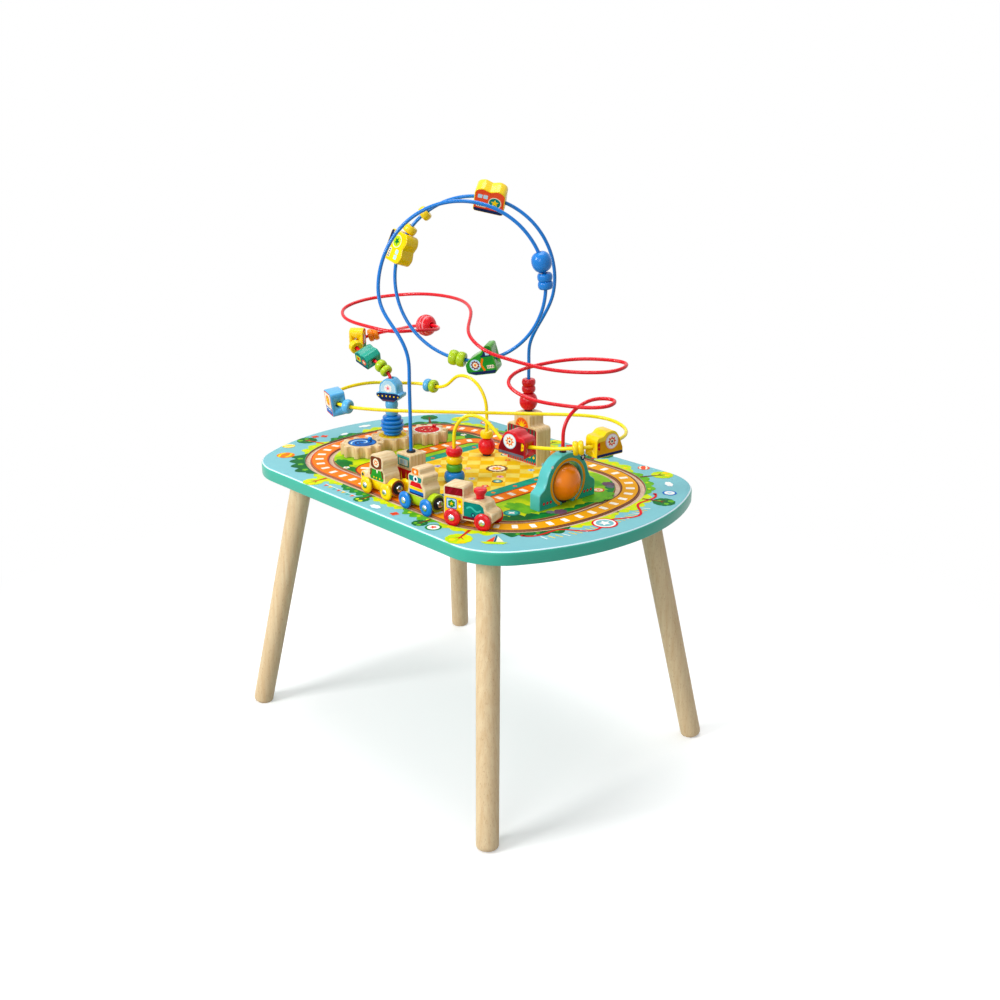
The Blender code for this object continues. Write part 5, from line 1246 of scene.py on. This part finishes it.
piece = latheSolid("chimneyTurned", [(radius, chimney["foot"] + height) for radius, height in chimneyRows],
                   seats["engine"] @ Matrix.Translation((chimney["x"], 0, 0)), paint["red"], "engine", 40)
standFor(piece, "engine_chimney")
print("train made")

leg = {"foot": 0.0145, "head": 0.0153, "round": 0.007, "footX": 0.2572, "footY": 0.2022, "headX": 0.1967,
       "headY": 0.1441, "drop": 0.0012, "sides": 48, "under": topZ - 0.018}
for node, sideX, sideY in (("leg_front_left", -1, -1), ("leg_front_right", 1, -1), ("leg_back_left", -1, 1),
                           ("leg_back_right", 1, 1)):
    foot = Vector((sideX * leg["footX"], sideY * leg["footY"], 0))
    head = Vector((sideX * leg["headX"], sideY * leg["headY"], leg["under"]))
    slope = (head - foot).normalized()
    length = (head - foot).length
    turns = np.linspace(0, math.pi / 2, 8)
    profile = [(leg["foot"] - leg["round"] * (1 - math.sin(t)),
                leg["round"] * (1 - math.cos(t)) - leg["drop"])
               for t in turns]
    profile += [(leg["foot"] + (leg["head"] - leg["foot"]) * t, length * t)
                for t in np.linspace(0.08, 1, 12)]
    tilt = Vector((0, 0, 1)).rotation_difference(slope).to_matrix().to_4x4()
    grid = latheGrid(profile, leg["sides"], Matrix.Translation(foot) @ tilt)
    grid[..., 2] = np.maximum(grid[..., 2], 0)
    rise = (leg["under"] - 0.0003 - grid[-1, :, 2]) / slope.z
    grid[-1] += rise[:, None] * np.array(slope)
    piece = gridMesh(node + "Dowel", grid, beechLeg, "table")
    standFor(piece, node)
print("legs made")

topBoard = {"length": 0.6174, "width": 0.402, "corner": 0.084, "bow": 0.032, "thick": 0.018, "edge": 0.004,
            "under": 0.0015, "cornerSteps": 24, "endSteps": 12}
rails = {"length": 0.466, "width": 0.286, "corner": 0.104, "bow": 0.004, "cornerSteps": 24, "endSteps": 12,
         "gauge": 0.033, "groove": 0.0075, "deep": 0.0022, "ease": 0.0004, "hollow": 0.0009, "line": 0.0019,
         "sleepers": 58}


def bowedOutline(size, inset):
    # a rounded rectangle with bulging short sides: an end arc and a corner arc, mirrored to four quarters
    coreX = size["length"] / 2 - size["corner"] - size["bow"]
    coreY = size["width"] / 2 - size["corner"]
    bowRadius = (coreY ** 2 + size["bow"] ** 2) / (2 * size["bow"])
    bowAngle = math.asin(coreY / bowRadius)
    reach = size["corner"] - inset
    end = np.linspace(0, bowAngle, size["endSteps"] + 1)[:-1]
    turn = np.linspace(bowAngle, math.pi / 2, size["cornerSteps"])
    quarter = np.vstack([onCircle(end) * (bowRadius + reach) + [coreX + size["bow"] - bowRadius, 0],
                         onCircle(turn) * reach + [coreX, coreY]])
    mirrored = quarter[1:][::-1]
    return np.vstack([quarter, quarter[::-1] * [-1, 1], mirrored[::-1] * [-1, -1], mirrored * [1, -1]])


def blendInk(name, one, two, direction, middle, width, grain=120.0):
    # printed ink whose tone runs from one colour to another across the table, a little cloudy
    material, tree, shader, place = startMaterial(name, 0.46, shine=0.05)
    heading = np.array(direction) / np.linalg.norm(direction)
    along = addNode(tree, "ShaderNodeVectorMath", {"operation": "DOT_PRODUCT", 1: tuple(heading)},
                    {0: (place, "Object")})
    cloud = addNode(tree, "ShaderNodeTexNoise", {"Scale": grain, "Detail": 3.0},
                    {"Vector": (place, "Object")})
    wander = addNode(tree, "ShaderNodeMath", {"operation": "MULTIPLY_ADD", 1: 0.08},
                     {0: (cloud, "Fac"), 2: (along, "Value")})
    share = addNode(tree, "ShaderNodeMapRange",
                    {"From Min": middle - width + 0.04, "From Max": middle + width + 0.04},
                    {"Value": (wander, "Value")})
    tone = addNode(tree, "ShaderNodeMix", {"data_type": "RGBA", 6: linear(one), 7: linear(two)},
                   {"Factor": (share, "Result")})
    tree.links.new(tone.outputs[2], shader.inputs["Base Color"])
    return material


def meadowInk(name, pale, middle, deep, scale):
    # a painted field: big soft patches from sunny lime to grass green with finer brush dabs
    material, tree, shader, place = startMaterial(name, 0.46, shine=0.05)
    hills = addNode(tree, "ShaderNodeTexNoise", {"Scale": scale, "Detail": 2.0, "Distortion": 0.6},
                    {"Vector": (place, "Object")})
    dabs = addNode(tree, "ShaderNodeTexNoise", {"Scale": scale * 7, "Detail": 3.0},
                   {"Vector": (place, "Object")})
    low = addNode(tree, "ShaderNodeMapRange", {"From Min": 0.4, "From Max": 0.56},
                  {"Value": (hills, "Fac")})
    high = addNode(tree, "ShaderNodeMapRange", {"From Min": 0.52, "From Max": 0.7, "To Max": 0.8},
                   {"Value": (dabs, "Fac")})
    first = addNode(tree, "ShaderNodeMix", {"data_type": "RGBA", 6: linear(pale), 7: linear(middle)},
                    {"Factor": (low, "Result")})
    second = addNode(tree, "ShaderNodeMix", {"data_type": "RGBA", 7: linear(deep)},
                     {0: (high, "Result"), 6: (first, 2)})
    soft = addNode(tree, "ShaderNodeMix", {"data_type": "RGBA", 0: 0.35}, {6: (first, 2), 7: (second, 2)})
    tree.links.new(soft.outputs[2], shader.inputs["Base Color"])
    return material


edgeEnamel = glossPaint("tealEdgeEnamel", "3EB89E", 0.32, 0.0, 0.05, 0.0)
# a pale glossy band along the top's rounded rim: a painted highlight
rimPaintedHighlight = glossPaint("paleRimPaintedHighlight", "D6F0FA", 0.15, 0.6, 0.0, 0.0)
# groove walls and the hollows at their foot in a darker brown than the floor: painted shade in the recess
grooveWallPaintedShade = beechWood("routedGrooveWallPaintedShade", "A87050", "8A5838", (1, 0, 0), 0.0014, 0.6)
borderInk = printInk("aquaBorderPrint", "80C0C8", "7BBBC4", 8.0, 0.44)
grooveWood = beechWood("routedGrooveFloor", "E9CAB0", "D6B294", (1, 0, 0), 0.0014, 0.55)
trackInk = blendInk("trackOrangePrint", "FB820A", "E8A206", (1, 0.25, 0), 0.06, 0.07)
lineInk = blendInk("trackEdgePrint", "D8481A", "5E2A1C", (1, 0.55, 0), -0.02, 0.09)
fieldInk = meadowInk("meadowPrint", "CEDC0C", "88C414", "3E9A1C", 16.0)
half, wide = rails["gauge"] / 2, rails["groove"] / 2
# rings of the moulded top, each (outline, inset, height, material): 0 edge enamel, 1 border print,
# 2 groove floor, 3 track, 4 track edge, 5 field, 6 painted highlight along the rim, 7 groove wall in painted
# shade
rings = [(topBoard, topBoard["under"] * (1 - math.sin(t)),
          -topBoard["thick"] + topBoard["under"] * (1 - math.cos(t)), 0)
         for t in np.linspace(0, math.pi / 2, 4)]
# a narrow band partway round the rim's rounding takes the pale rim colour: a painted highlight
rings += [(topBoard, topBoard["edge"] * (1 - math.cos(t)), -topBoard["edge"] * (1 - math.sin(t)),
           0 if t < 0.6 else 6 if t < 1.0 else 1) for t in np.linspace(0, math.pi / 2, 8)]
for side, before, after in ((-1, 1, 4), (1, 3, 5)):
    outer, inner = side * half - wide, side * half + wide
    ease, hollow, deep = rails["ease"], rails["hollow"], -rails["deep"]
    if side > 0:
        rings.append((rails, outer - ease - rails["line"], 0, 4))
    rings[-1] = (*rings[-1][:3], before if side < 0 else 4)
    # the walls and hollows of each groove take the darker wall colour, a painted shade
    rings += [(rails, outer - ease, 0, 7), (rails, outer, -ease, 7), (rails, outer, deep + hollow, 7),
              (rails, outer + hollow * 0.3, deep + hollow * 0.3, 7), (rails, outer + hollow, deep, 2),
              (rails, inner - hollow, deep, 7), (rails, inner - hollow * 0.3, deep + hollow * 0.3, 7),
              (rails, inner, deep + hollow, 7), (rails, inner, -ease, 7), (rails, inner + ease, 0, after)]
    if side < 0:
        rings.append((rails, inner + ease + rails["line"], 0, 3))
rows = [np.column_stack([bowedOutline(size, inset),
                         np.full(4 * (size["cornerSteps"] + size["endSteps"]) - 2, topZ + height)])
        for size, inset, height, _ in rings]
piece = gridMesh("tabletopMoulded", np.array(rows),
                 [edgeEnamel, borderInk, grooveWood, trackInk, lineInk, fieldInk, rimPaintedHighlight, grooveWallPaintedShade],
                 "table", slots=[ring[3] for ring in rings[:-1]], sharp=28, capSlots=(0, 5))
standFor(piece, "tabletop")
print("tabletop made")

loop = bowedOutline(rails, 0)
loop = np.vstack([loop, loop[:1]])
loopLength = marksAlong(loop)
loopHeading = np.roll(loop[:-1], -1, axis=0) - np.roll(loop[:-1], 1, axis=0)
loopHeading = np.vstack([loopHeading, loopHeading[:1]])
grooveEdge = half + wide + rails["ease"] + 0.0003      # from the track's centre line to clear of its grooves


def onLoop(share, outward=0.0):
    # points at a share of the way round the track's centre line, moved outward; starts at the right end
    distance = np.mod(np.asarray(share, float), 1) * loopLength[-1]
    spot = readOff(distance, loopLength, loop)
    heading = readOff(distance, loopLength, loopHeading)
    heading /= np.linalg.norm(heading, axis=1)[:, None]
    return spot + np.stack([heading[:, 1], -heading[:, 0]], axis=-1) * np.asarray(outward, float)[..., None]


def hedge(start, stop, high, lobes, inward=False, phase=0.0):
    # a row of bushes with its foot on the groove's edge: height swings with |sin|, and tapers at both ends
    count = lobes * 7 + 1
    share = np.linspace(start, stop, count)
    t = np.linspace(0, 1, count)
    swell = 0.55 + 0.45 * np.abs(np.sin(t * lobes * math.pi + phase))
    taper = np.minimum(1, np.minimum(t, 1 - t) * lobes * 1.1 + 0.04)
    side = -1 if inward else 1
    return np.vstack([onLoop(share, np.full(count, side * grooveEdge)),
                      onLoop(share, side * (grooveEdge + high * swell * taper))[::-1]])


topFace = Matrix.Translation((0, 0, topZ))       # prints on the table top lie in this plane


def onTop(group, colour, outline, level=0):
    # a flat of ink on the table top
    decal(group, colour, outline, level, topFace, "table", "tabletop")


def placeShape(outline, centre, heading=0.0, size=1.0):
    # a shape drawn about the origin, scaled, turned by degrees and moved
    return np.asarray(outline) * size @ spin(math.radians(heading)) + centre


def clipBox(outline, x0, y0, x1, y1):
    # the part of a convex outline inside a box
    flip = lambda shape: np.asarray(shape)[:, ::-1]
    for cut, height in ((clipLow, y1), (clipHigh, y0)):
        outline = cut(outline, height)
        if len(outline) < 3:
            return outline
    outline = flip(outline)
    for cut, height in ((clipLow, x1), (clipHigh, x0)):
        outline = cut(outline, height)
        if len(outline) < 3:
            return outline
    return flip(outline)


sleeper = roundCorners([(-0.006, -0.0038, 0.0012), (0.006, -0.0036, 0.0012), (0.0058, 0.0038, 0.0012),
                        (-0.0059, 0.0037, 0.0012)], 3)
for k in range(rails["sleepers"]):
    share = k / rails["sleepers"]
    spot, ahead = onLoop([share])[0], onLoop([share + 0.001])[0]
    heading = math.degrees(math.atan2(*(ahead - spot)[::-1]))
    onTop("track", "sleeper", placeShape(sleeper, spot, heading + 90), 1)


def branch(group, corners):
    # a printed siding: edge lines, bed and sleepers along one smooth path
    path = roundCorners([(x, y, r) for x, y, r in corners], 14)
    path = path[:-1] if np.allclose(path[0], path[-1]) else path
    onTop(group, "trackBrown", bandShape(path, 0.0258), 1)
    onTop(group, "trackRed", bandShape(path, 0.0228), 2)
    onTop(group, "track", bandShape(path, 0.02), 3)
    gaps = marksAlong(path)
    for distance in np.arange(0.008, gaps[-1] - 0.004, 0.0222):
        spot, ahead = readOff(distance, gaps, path), readOff(distance + 0.002, gaps, path)
        heading = math.degrees(math.atan2(ahead[1] - spot[1], ahead[0] - spot[0]))
        onTop(group, "sleeper", placeShape(sleeper, spot, heading + 90), 4)


rug = {"x0": -0.088, "x1": 0.101, "y0": -0.104, "y1": 0.106, "border": 0.017, "square": 0.0134}
onTop("rug", "rugShade",
      panel(rug["x0"] - 0.0015, rug["y0"] - 0.0015, rug["x1"] + 0.0015, rug["y1"] + 0.0015, 0.022), 0)
onTop("rug", "rugTeal", panel(rug["x0"], rug["y0"], rug["x1"], rug["y1"], 0.021), 1)
inside = (rug["x0"] + rug["border"], rug["y0"] + 0.01, rug["x1"] - rug["border"], rug["y1"] - 0.01)
onTop("rug", "rugGold", panel(*inside, 0.0006), 2)
diamond = np.array([(rug["square"], 0), (0, rug["square"]), (-rug["square"], 0), (0, -rug["square"])])
for row in range(-9, 10):
    for column in range(-8, 9):
        shape = clipBox(diamond * 0.985
                        + [column * 2 * rug["square"] + 0.004, row * 2 * rug["square"] + 0.002], *inside)
        if len(shape) > 2:
            onTop("rug", "rugCream", shape, 3)
for x in (rug["x0"] + rug["border"] / 2, rug["x1"] - rug["border"] / 2):
    for k in range(5):
        onTop("rug", "orange" if k % 2 else "coral", oval(x, -0.08 + k * 0.04, 0.003, 1, 20), 2)
branch("siding", [(-0.04, 0.1105, 0), (-0.112, 0.1105, 0.04), (-0.1145, 0.06, 0.03), (-0.1145, -0.06, 0.03),
                  (-0.112, -0.1105, 0.04), (-0.04, -0.1105, 0)])
branch("sidingRight",
       [(0.1135, 0.048, 0), (0.1135, -0.06, 0.03), (0.11, -0.1105, 0.04), (0.045, -0.1105, 0)])


def badge(group, x, y, radius, rim, ground, mark, points, level=1):
    # a rim, a ground and a star in one round
    onTop(group, rim, oval(x, y, radius, 1, 36), level)
    onTop(group, ground, oval(x, y, radius * 0.74, 1, 32), level + 1)
    onTop(group, mark, starShape((x, y), radius * 0.52, radius * 0.24, points), level + 2)


def flower(group, x, y, radius, petals, heart, level=1):
    # five petals round a heart
    onTop(group, petals, lobedShape((x, y), radius, 5, 0.32), level)
    onTop(group, heart, oval(x, y, radius * 0.36, 1, 14), level + 1)


onTop("rug", "trunkBrown", lobedShape((0.02, 0.034), 0.016, 14, 0.16), 4)
onTop("rug", "cream", oval(0.02, 0.034, 0.0116, 1, 36), 5)
onTop("rug", "orange", starShape((0.02, 0.034), 0.0095, 0.005, 8), 6)
onTop("rug", "yellow", oval(0.02, 0.034, 0.0036, 1, 20), 7)
for x, y, radius, petals, heart in ((0.05, 0.012, 0.0052, "pink", "red"),
                                    (-0.008, 0.004, 0.0048, "pink", "yellow"),
                                    (0.058, 0.064, 0.005, "sky", "blue"),
                                    (0.066, -0.03, 0.0056, "coral", "cream"),
                                    (-0.045, -0.02, 0.0054, "lilac", "plum"),
                                    (0.03, -0.022, 0.0048, "sky", "orange"),
                                    (-0.052, 0.03, 0.0044, "coral", "cream"),
                                    (0.002, 0.072, 0.0046, "coral", "yellow")):
    flower("rug", x, y, radius, petals, heart, 4)
badge("rug", 0.062, -0.004, 0.0076, "trunkBrown", "tealLight", "cream", 6, 4)
badge("rug", -0.02, 0.088, 0.007, "teal", "cream", "coral", 5, 4)

for start, stop, high, lobes, colour, level in (
        (0.3, 0.44, 0.02, 5, "darkLeaf", 0), (0.02, 0.115, 0.013, 5, "bush", 0),
        (0.885, 0.975, 0.024, 4, "darkLeaf", 0), (0.93, 1.03, 0.012, 6, "bush", 1),
        (0.79, 0.865, 0.01, 5, "meadowDeep", 0), (0.53, 0.6, 0.013, 4, "leaf", 0),
        (0.15, 0.22, 0.012, 4, "leaf", 0), (0.62, 0.68, 0.014, 4, "bush", 0),
        (0.68, 0.74, 0.01, 4, "meadowDeep", 0)):
    onTop("field", colour, hedge(start, stop, high, lobes, True), level)
for x, y, radius, squash, colour in ((0.16, -0.055, 0.026, 0.6, "meadowDeep"),
                                     (0.196, 0.05, 0.02, 1.4, "meadowDeep"),
                                     (0.15, 0.085, 0.022, 0.6, "meadowDeep"),
                                     (0.172, 0.098, 0.01, 0.9, "plum"),
                                     (0.181, 0.092, 0.007, 0.8, "grey"),
                                     (0.204, -0.028, 0.009, 1.2, "plum"),
                                     (0.197, -0.038, 0.006, 1.0, "grey"),
                                     (-0.15, -0.106, 0.018, 0.6, "bush"),
                                     (-0.195, 0.085, 0.01, 0.8, "bush")):
    onTop("field", colour, lobedShape((x, y), radius, 7, 0.22, 0.4, squash), 1)
badge("field", 0.166, -0.076, 0.011, "teal", "tealLight", "white", 4, 2)
badge("field", 0.18, 0.07, 0.008, "coral", "cream", "orange", 5, 2)
for x, y in ((-0.14, 0.112), (-0.128, -0.118)):
    flower("field", x, y, 0.005, "white", "yellow", 2)

hedges = [(0.015, 0.075, 0.016, 5, "leaf"), (0.07, 0.135, 0.013, 5, "meadowDeep"),
          (0.13, 0.19, 0.018, 4, "leaf"), (0.185, 0.245, 0.012, 5, "darkLeaf"),
          (0.24, 0.29, 0.016, 4, "leaf"), (0.285, 0.345, 0.013, 5, "meadowDeep"),
          (0.34, 0.4, 0.015, 5, "leaf"), (0.395, 0.45, 0.014, 4, "darkLeaf"),
          (0.445, 0.5, 0.016, 4, "leaf"), (0.495, 0.545, 0.013, 4, "bush"),
          (0.54, 0.59, 0.015, 4, "leaf"), (0.585, 0.65, 0.022, 5, "darkLeaf"),
          (0.645, 0.7, 0.013, 5, "leaf"), (0.695, 0.75, 0.015, 5, "bush"),
          (0.745, 0.8, 0.012, 5, "leaf"), (0.795, 0.85, 0.015, 5, "meadowDeep"),
          (0.845, 0.905, 0.013, 5, "leaf"), (0.9, 0.96, 0.015, 5, "darkLeaf"),
          (0.955, 1.02, 0.013, 5, "leaf")]
for index, (start, stop, high, lobes, colour) in enumerate(hedges):
    onTop("hedge", colour, hedge(start, stop, high, lobes, False, 0.5 * index), index % 2)
    for k in range(1, 4):
        share = start + (stop - start) * k / 4
        spot = onLoop([share], np.array([grooveEdge + high * 0.32]))[0]
        tone = {"leaf": "yellow", "meadowDeep": "leaf", "darkLeaf": "meadowDeep",
                "bush": "meadowDeep"}[colour]
        onTop("hedgeLight", tone, lobedShape(spot, high * 0.2, 5, 0.3, k), 2)


def tree(x, y, radius, foot, crown, light, bark):
    # a round crown with lighter dabs, its trunk run in from the hedge and forked under the crown
    centre, foot = np.array([x, y]), np.array(foot)
    along = centre - foot
    reach = np.linalg.norm(along)
    along = along / reach
    across = np.array([-along[1], along[0]])
    onTop("tree", crown, lobedShape((x, y), radius, 11, 0.07), 2)
    for shift, turn, size in ((0.42, 0.5, 0.3), (-0.35, 0.35, 0.24), (0.1, -0.45, 0.2)):
        onTop("treeLight", light,
              lobedShape(centre + radius * (across * shift + along * turn), radius * size, 5, 0.2), 3)
    trunk = [foot - across * 0.0022, foot + across * 0.0022,
             centre - along * radius * 0.25 + across * 0.0012,
             centre + along * radius * 0.3, centre - along * radius * 0.25 - across * 0.0012]
    onTop("treeTrunk", bark, trunk, 4)
    for side in (-1, 1):
        fork = centre - along * radius * 0.3
        tip = centre + along * radius * 0.12 + across * side * radius * 0.46
        onTop("treeTrunk", bark, [fork - along * 0.0022, fork + along * 0.0008, tip], 5 if side < 0 else 6)


for share, outward, radius, crown, light, bark in (
        (0.06, 0.052, 0.015, "darkLeaf", "meadowDeep", "trunkBrown"),
        (0.118, 0.056, 0.0155, "leaf", "yellow", "bark"), (0.19, 0.048, 0.015, "darkLeaf", "bush", "trunk"),
        (0.262, 0.043, 0.0125, "leaf", "yellow", "trunkBrown"),
        (0.33, 0.04, 0.012, "bush", "meadowDeep", "trunk"),
        (0.392, 0.05, 0.015, "leaf", "yellow", "trunk"),
        (0.418, 0.058, 0.014, "darkLeaf", "bush", "trunkBrown"),
        (0.552, 0.055, 0.0155, "darkLeaf", "meadowDeep", "trunk"),
        (0.668, 0.045, 0.0145, "leaf", "yellow", "trunk"),
        (0.746, 0.04, 0.011, "bush", "leaf", "trunkBrown"),
        (0.878, 0.054, 0.017, "leaf", "yellow", "trunk"),
        (0.838, 0.041, 0.0105, "darkLeaf", "meadowDeep", "trunkBrown")):
    spot = onLoop([share], np.array([outward]))[0]
    tree(*spot, radius, onLoop([share], np.array([grooveEdge + 0.002]))[0], crown, light, bark)


def cloud(x, y, size, heading=0.0):
    # a puffy white shape over a slightly larger sky-blue one
    puffs = lobedShape((0, 0), 0.013, 6, 0.24, 0.3, 0.55)
    onTop("cloud", "sky", placeShape(puffs, (x + 0.001, y - 0.0012), heading, size * 1.06), 2)
    onTop("cloud", "white", placeShape(puffs, (x, y), heading, size), 3)


def ball(x, y, radius, one, two, heading=0.0):
    # a round with two bent stripes
    onTop("ball", one, oval(x, y, radius, 1, 32), 2)
    for shift in (-0.45, 0.35):
        stripe = bandShape([(shift * radius, -radius * 0.8), (shift * radius * 1.5, 0),
                            (shift * radius, radius * 0.8)], radius * 0.28)
        onTop("ball", two, placeShape(stripe, (x, y), heading), 3)


for x, y, size, heading in ((-0.283, 0.03, 0.8, 80), (-0.268, -0.02, 0.55, 100), (0.228, 0.158, 0.75, -35),
                            (-0.06, 0.186, 0.8, 0), (0.03, -0.187, 0.7, 0), (0.04, 0.188, 0.6, 0)):
    cloud(x, y, size, heading)
ball(-0.236, -0.148, 0.013, "orange", "yellow", 30)
ball(-0.272, -0.119, 0.0095, "yellow", "cream", -20)
ball(0.158, 0.188, 0.0085, "coral", "cream", 40)
badge("border", 0.138, -0.181, 0.0105, "bush", "white", "coral", 5)
badge("border", 0.252, 0.13, 0.0095, "blue", "white", "sky", 5)
badge("border", -0.168, 0.184, 0.0085, "coral", "cream", "orange", 6)
for x, y, heading in ((-0.286, -0.062, 20), (-0.279, -0.05, -30), (0.068, -0.186, 10), (0.012, 0.189, -15)):
    wing = placeShape(lobedShape((0, 0), 0.0062, 4, 0.45, 0.8), (x, y), heading)
    onTop("border", "coral", wing, 2)
    onTop("border", "maroon",
          placeShape(bandShape([(-0.0046, 0), (0.0046, 0)], 0.001), (x, y), heading + 45), 3)
for k in range(7):
    x = -0.083 + k * 0.0098
    onTop("bunting", ("coral", "yellow", "tealLight")[k % 3],
          [(x - 0.0034, -0.1815), (x + 0.0034, -0.1815), (x, -0.1885)], 2)
onTop("bunting", "white", bandShape([(-0.088, -0.1812), (-0.054, -0.1822), (-0.019, -0.1812)], 0.001), 3)

for colour, outline, level in (
        ("leaf", roundCorners([(-0.017, -0.007, 0.001), (0.016, 0.003, 0.001), (0.012, -0.005, 0.003),
                               (-0.008, -0.012, 0.003)], 4), 2),
        ("navy", [(-0.0005, -0.0025), (0.001, -0.002), (-0.0055, 0.019), (-0.0065, 0.0186)], 3),
        ("cream", [(0.0015, -0.0005), (0.01, 0.0025), (-0.0035, 0.0165)], 2),
        ("coral", [(-0.0015, -0.002), (-0.01, -0.0045), (-0.0065, 0.015)], 2)):
    onTop("boat", colour, placeShape(outline, (0.224, -0.158), 24), level)

turn = np.linspace(0, 1, 90)
bearing = np.radians(-44 + 84 * turn)
swing = 0.0085 * np.sin(turn * math.tau * 3.2 + 0.9)
winding = np.column_stack([0.105 + (0.171 + swing) * np.cos(bearing), (0.168 + swing) * np.sin(bearing)])
onTop("winding", "red", bandShape(winding, 0.0034), 3)
for end in (winding[0], winding[-1]):
    onTop("winding", "red", oval(*end, 0.0028, 1, 18), 3)
ringAt = winding[40]
for level, (colour, radius, sides) in enumerate((("red", 0.0165, 44), ("white", 0.0138, 40),
                                                 ("borderAqua", 0.0112, 40)), 4):
    onTop("winding", colour, oval(*ringAt, radius, 1, sides), level)
onTop("winding", "white", starShape(ringAt, 0.0082, 0.004, 5), 7)
for k in range(22):
    share = -0.07 + k * 0.0052
    near = onLoop([share], np.array([grooveEdge + 0.017]))[0]
    far = onLoop([share + 0.003], np.array([grooveEdge + 0.027]))[0]
    onTop("hatch", "yellow" if k % 3 else "white", bandShape([near, far], 0.0016), 1)
layPrints()
print("prints laid")


def seenRays(tree):
    # 1 for rays that come from the camera, off a gloss or through glass, 0 for those that carry light
    rays = addNode(tree, "ShaderNodeLightPath")
    direct = addNode(tree, "ShaderNodeMath", {"operation": "MAXIMUM"},
                     {0: (rays, "Is Camera Ray"), 1: (rays, "Is Glossy Ray")})
    return addNode(tree, "ShaderNodeMath", {"operation": "MAXIMUM"},
                   {0: (direct, "Value"), 1: (rays, "Is Transmission Ray")})


studio = {"floor": 8.0, "fadeFrom": 0.45, "fadeTo": 1.05, "camera": (1.17142, -1.03369, 0.8951),
          "view": (-0.68989, 0.6433, -0.332), "roll": math.radians(0.043), "lens": 42.24, "sensor": 36.0}
floorSize = studio["floor"]
mesh = bpy.data.meshes.new("studioFloor")
mesh.from_pydata([(-floorSize, -floorSize, 0), (floorSize, -floorSize, 0), (floorSize, floorSize, 0),
                  (-floorSize, floorSize, 0)], [], [(0, 1, 2, 3)])
floorMaterial, tree, shader, place = startMaterial("paleStudioFloor", 0.9)
shader.inputs["Base Color"].default_value = (0.4, 0.4, 0.41, 1)
shader.inputs["Specular IOR Level"].default_value = 0.0
seen = seenRays(tree)
distance = addNode(tree, "ShaderNodeVectorMath", {"operation": "LENGTH"}, {0: (place, "Object")})
fade = addNode(tree, "ShaderNodeMapRange",
               {"interpolation_type": "SMOOTHSTEP", "From Min": studio["fadeFrom"],
                "From Max": studio["fadeTo"]},
               {"Value": (distance, "Value")})
paper = addNode(tree, "ShaderNodeBsdfDiffuse", {"Color": (0.9, 0.9, 0.9, 1)})
glow = addNode(tree, "ShaderNodeEmission", {"Color": (1, 1, 1, 1), "Strength": 0.3})
near = addNode(tree, "ShaderNodeAddShader", None, {0: (paper, "BSDF"), 1: (glow, "Emission")})
white = addNode(tree, "ShaderNodeEmission", {"Color": (1, 1, 1, 1), "Strength": 1.0})
shown = addNode(tree, "ShaderNodeMixShader", None,
                {0: (fade, "Result"), 1: (near, "Shader"), 2: (white, "Emission")})
final = addNode(tree, "ShaderNodeMixShader", None,
                {0: (seen, "Value"), 1: (shader, "BSDF"), 2: (shown, "Shader")})
tree.links.new(final.outputs["Shader"], tree.nodes["Material Output"].inputs["Surface"])
mesh.materials.append(floorMaterial)
addObject("studioFloor", mesh)


def areaLight(name, spot, aim, size, watts, colour=(1, 1, 1)):
    # a softbox at a spot, turned toward its aim
    lamp = bpy.data.lights.new(name, "AREA")
    lamp.size, lamp.energy, lamp.color = size, watts, colour
    holder = addObject(name, lamp)
    holder.location = spot
    holder.rotation_euler = (Vector(aim) - Vector(spot)).to_track_quat("-Z", "Y").to_euler()


areaLight("keySoftbox", (-0.6, -2.3, 1.7), (0, 0, 0.42), 0.9, 46)
areaLight("topSoftbox", (-0.2, 0.3, 3.0), (0, 0, 0.4), 1.6, 42)
areaLight("fillSoftbox", (1.3, -2.5, 1.3), (0, 0, 0.4), 1.2, 16)

world = bpy.data.worlds.new("studio")
bpy.context.scene.world = world
world.use_nodes = True
tree = world.node_tree
tree.nodes.clear()
seen = seenRays(tree)
ambient = addNode(tree, "ShaderNodeBackground", {"Color": (0.97, 0.98, 1.0, 1), "Strength": 0.38})
paper = addNode(tree, "ShaderNodeBackground", {"Color": (1, 1, 1, 1), "Strength": 1.0})
choice = addNode(tree, "ShaderNodeMixShader", None, {0: (seen, "Value"), 1: (ambient, "Background"),
                                                     2: (paper, "Background")})
addNode(tree, "ShaderNodeOutputWorld", None, {"Surface": (choice, "Shader")})
bpy.context.scene.view_settings.view_transform = "Standard"

lens = bpy.data.cameras.new("view")
lens.lens, lens.sensor_width = studio["lens"], studio["sensor"]
holder = addObject("view", lens)
holder.location = Vector(studio["camera"])
holder.rotation_euler = (Vector(studio["view"]).to_track_quat("-Z", "Y")
                         @ Matrix.Rotation(studio["roll"], 3, "Z").to_quaternion()).to_euler()
bpy.context.scene.camera = holder
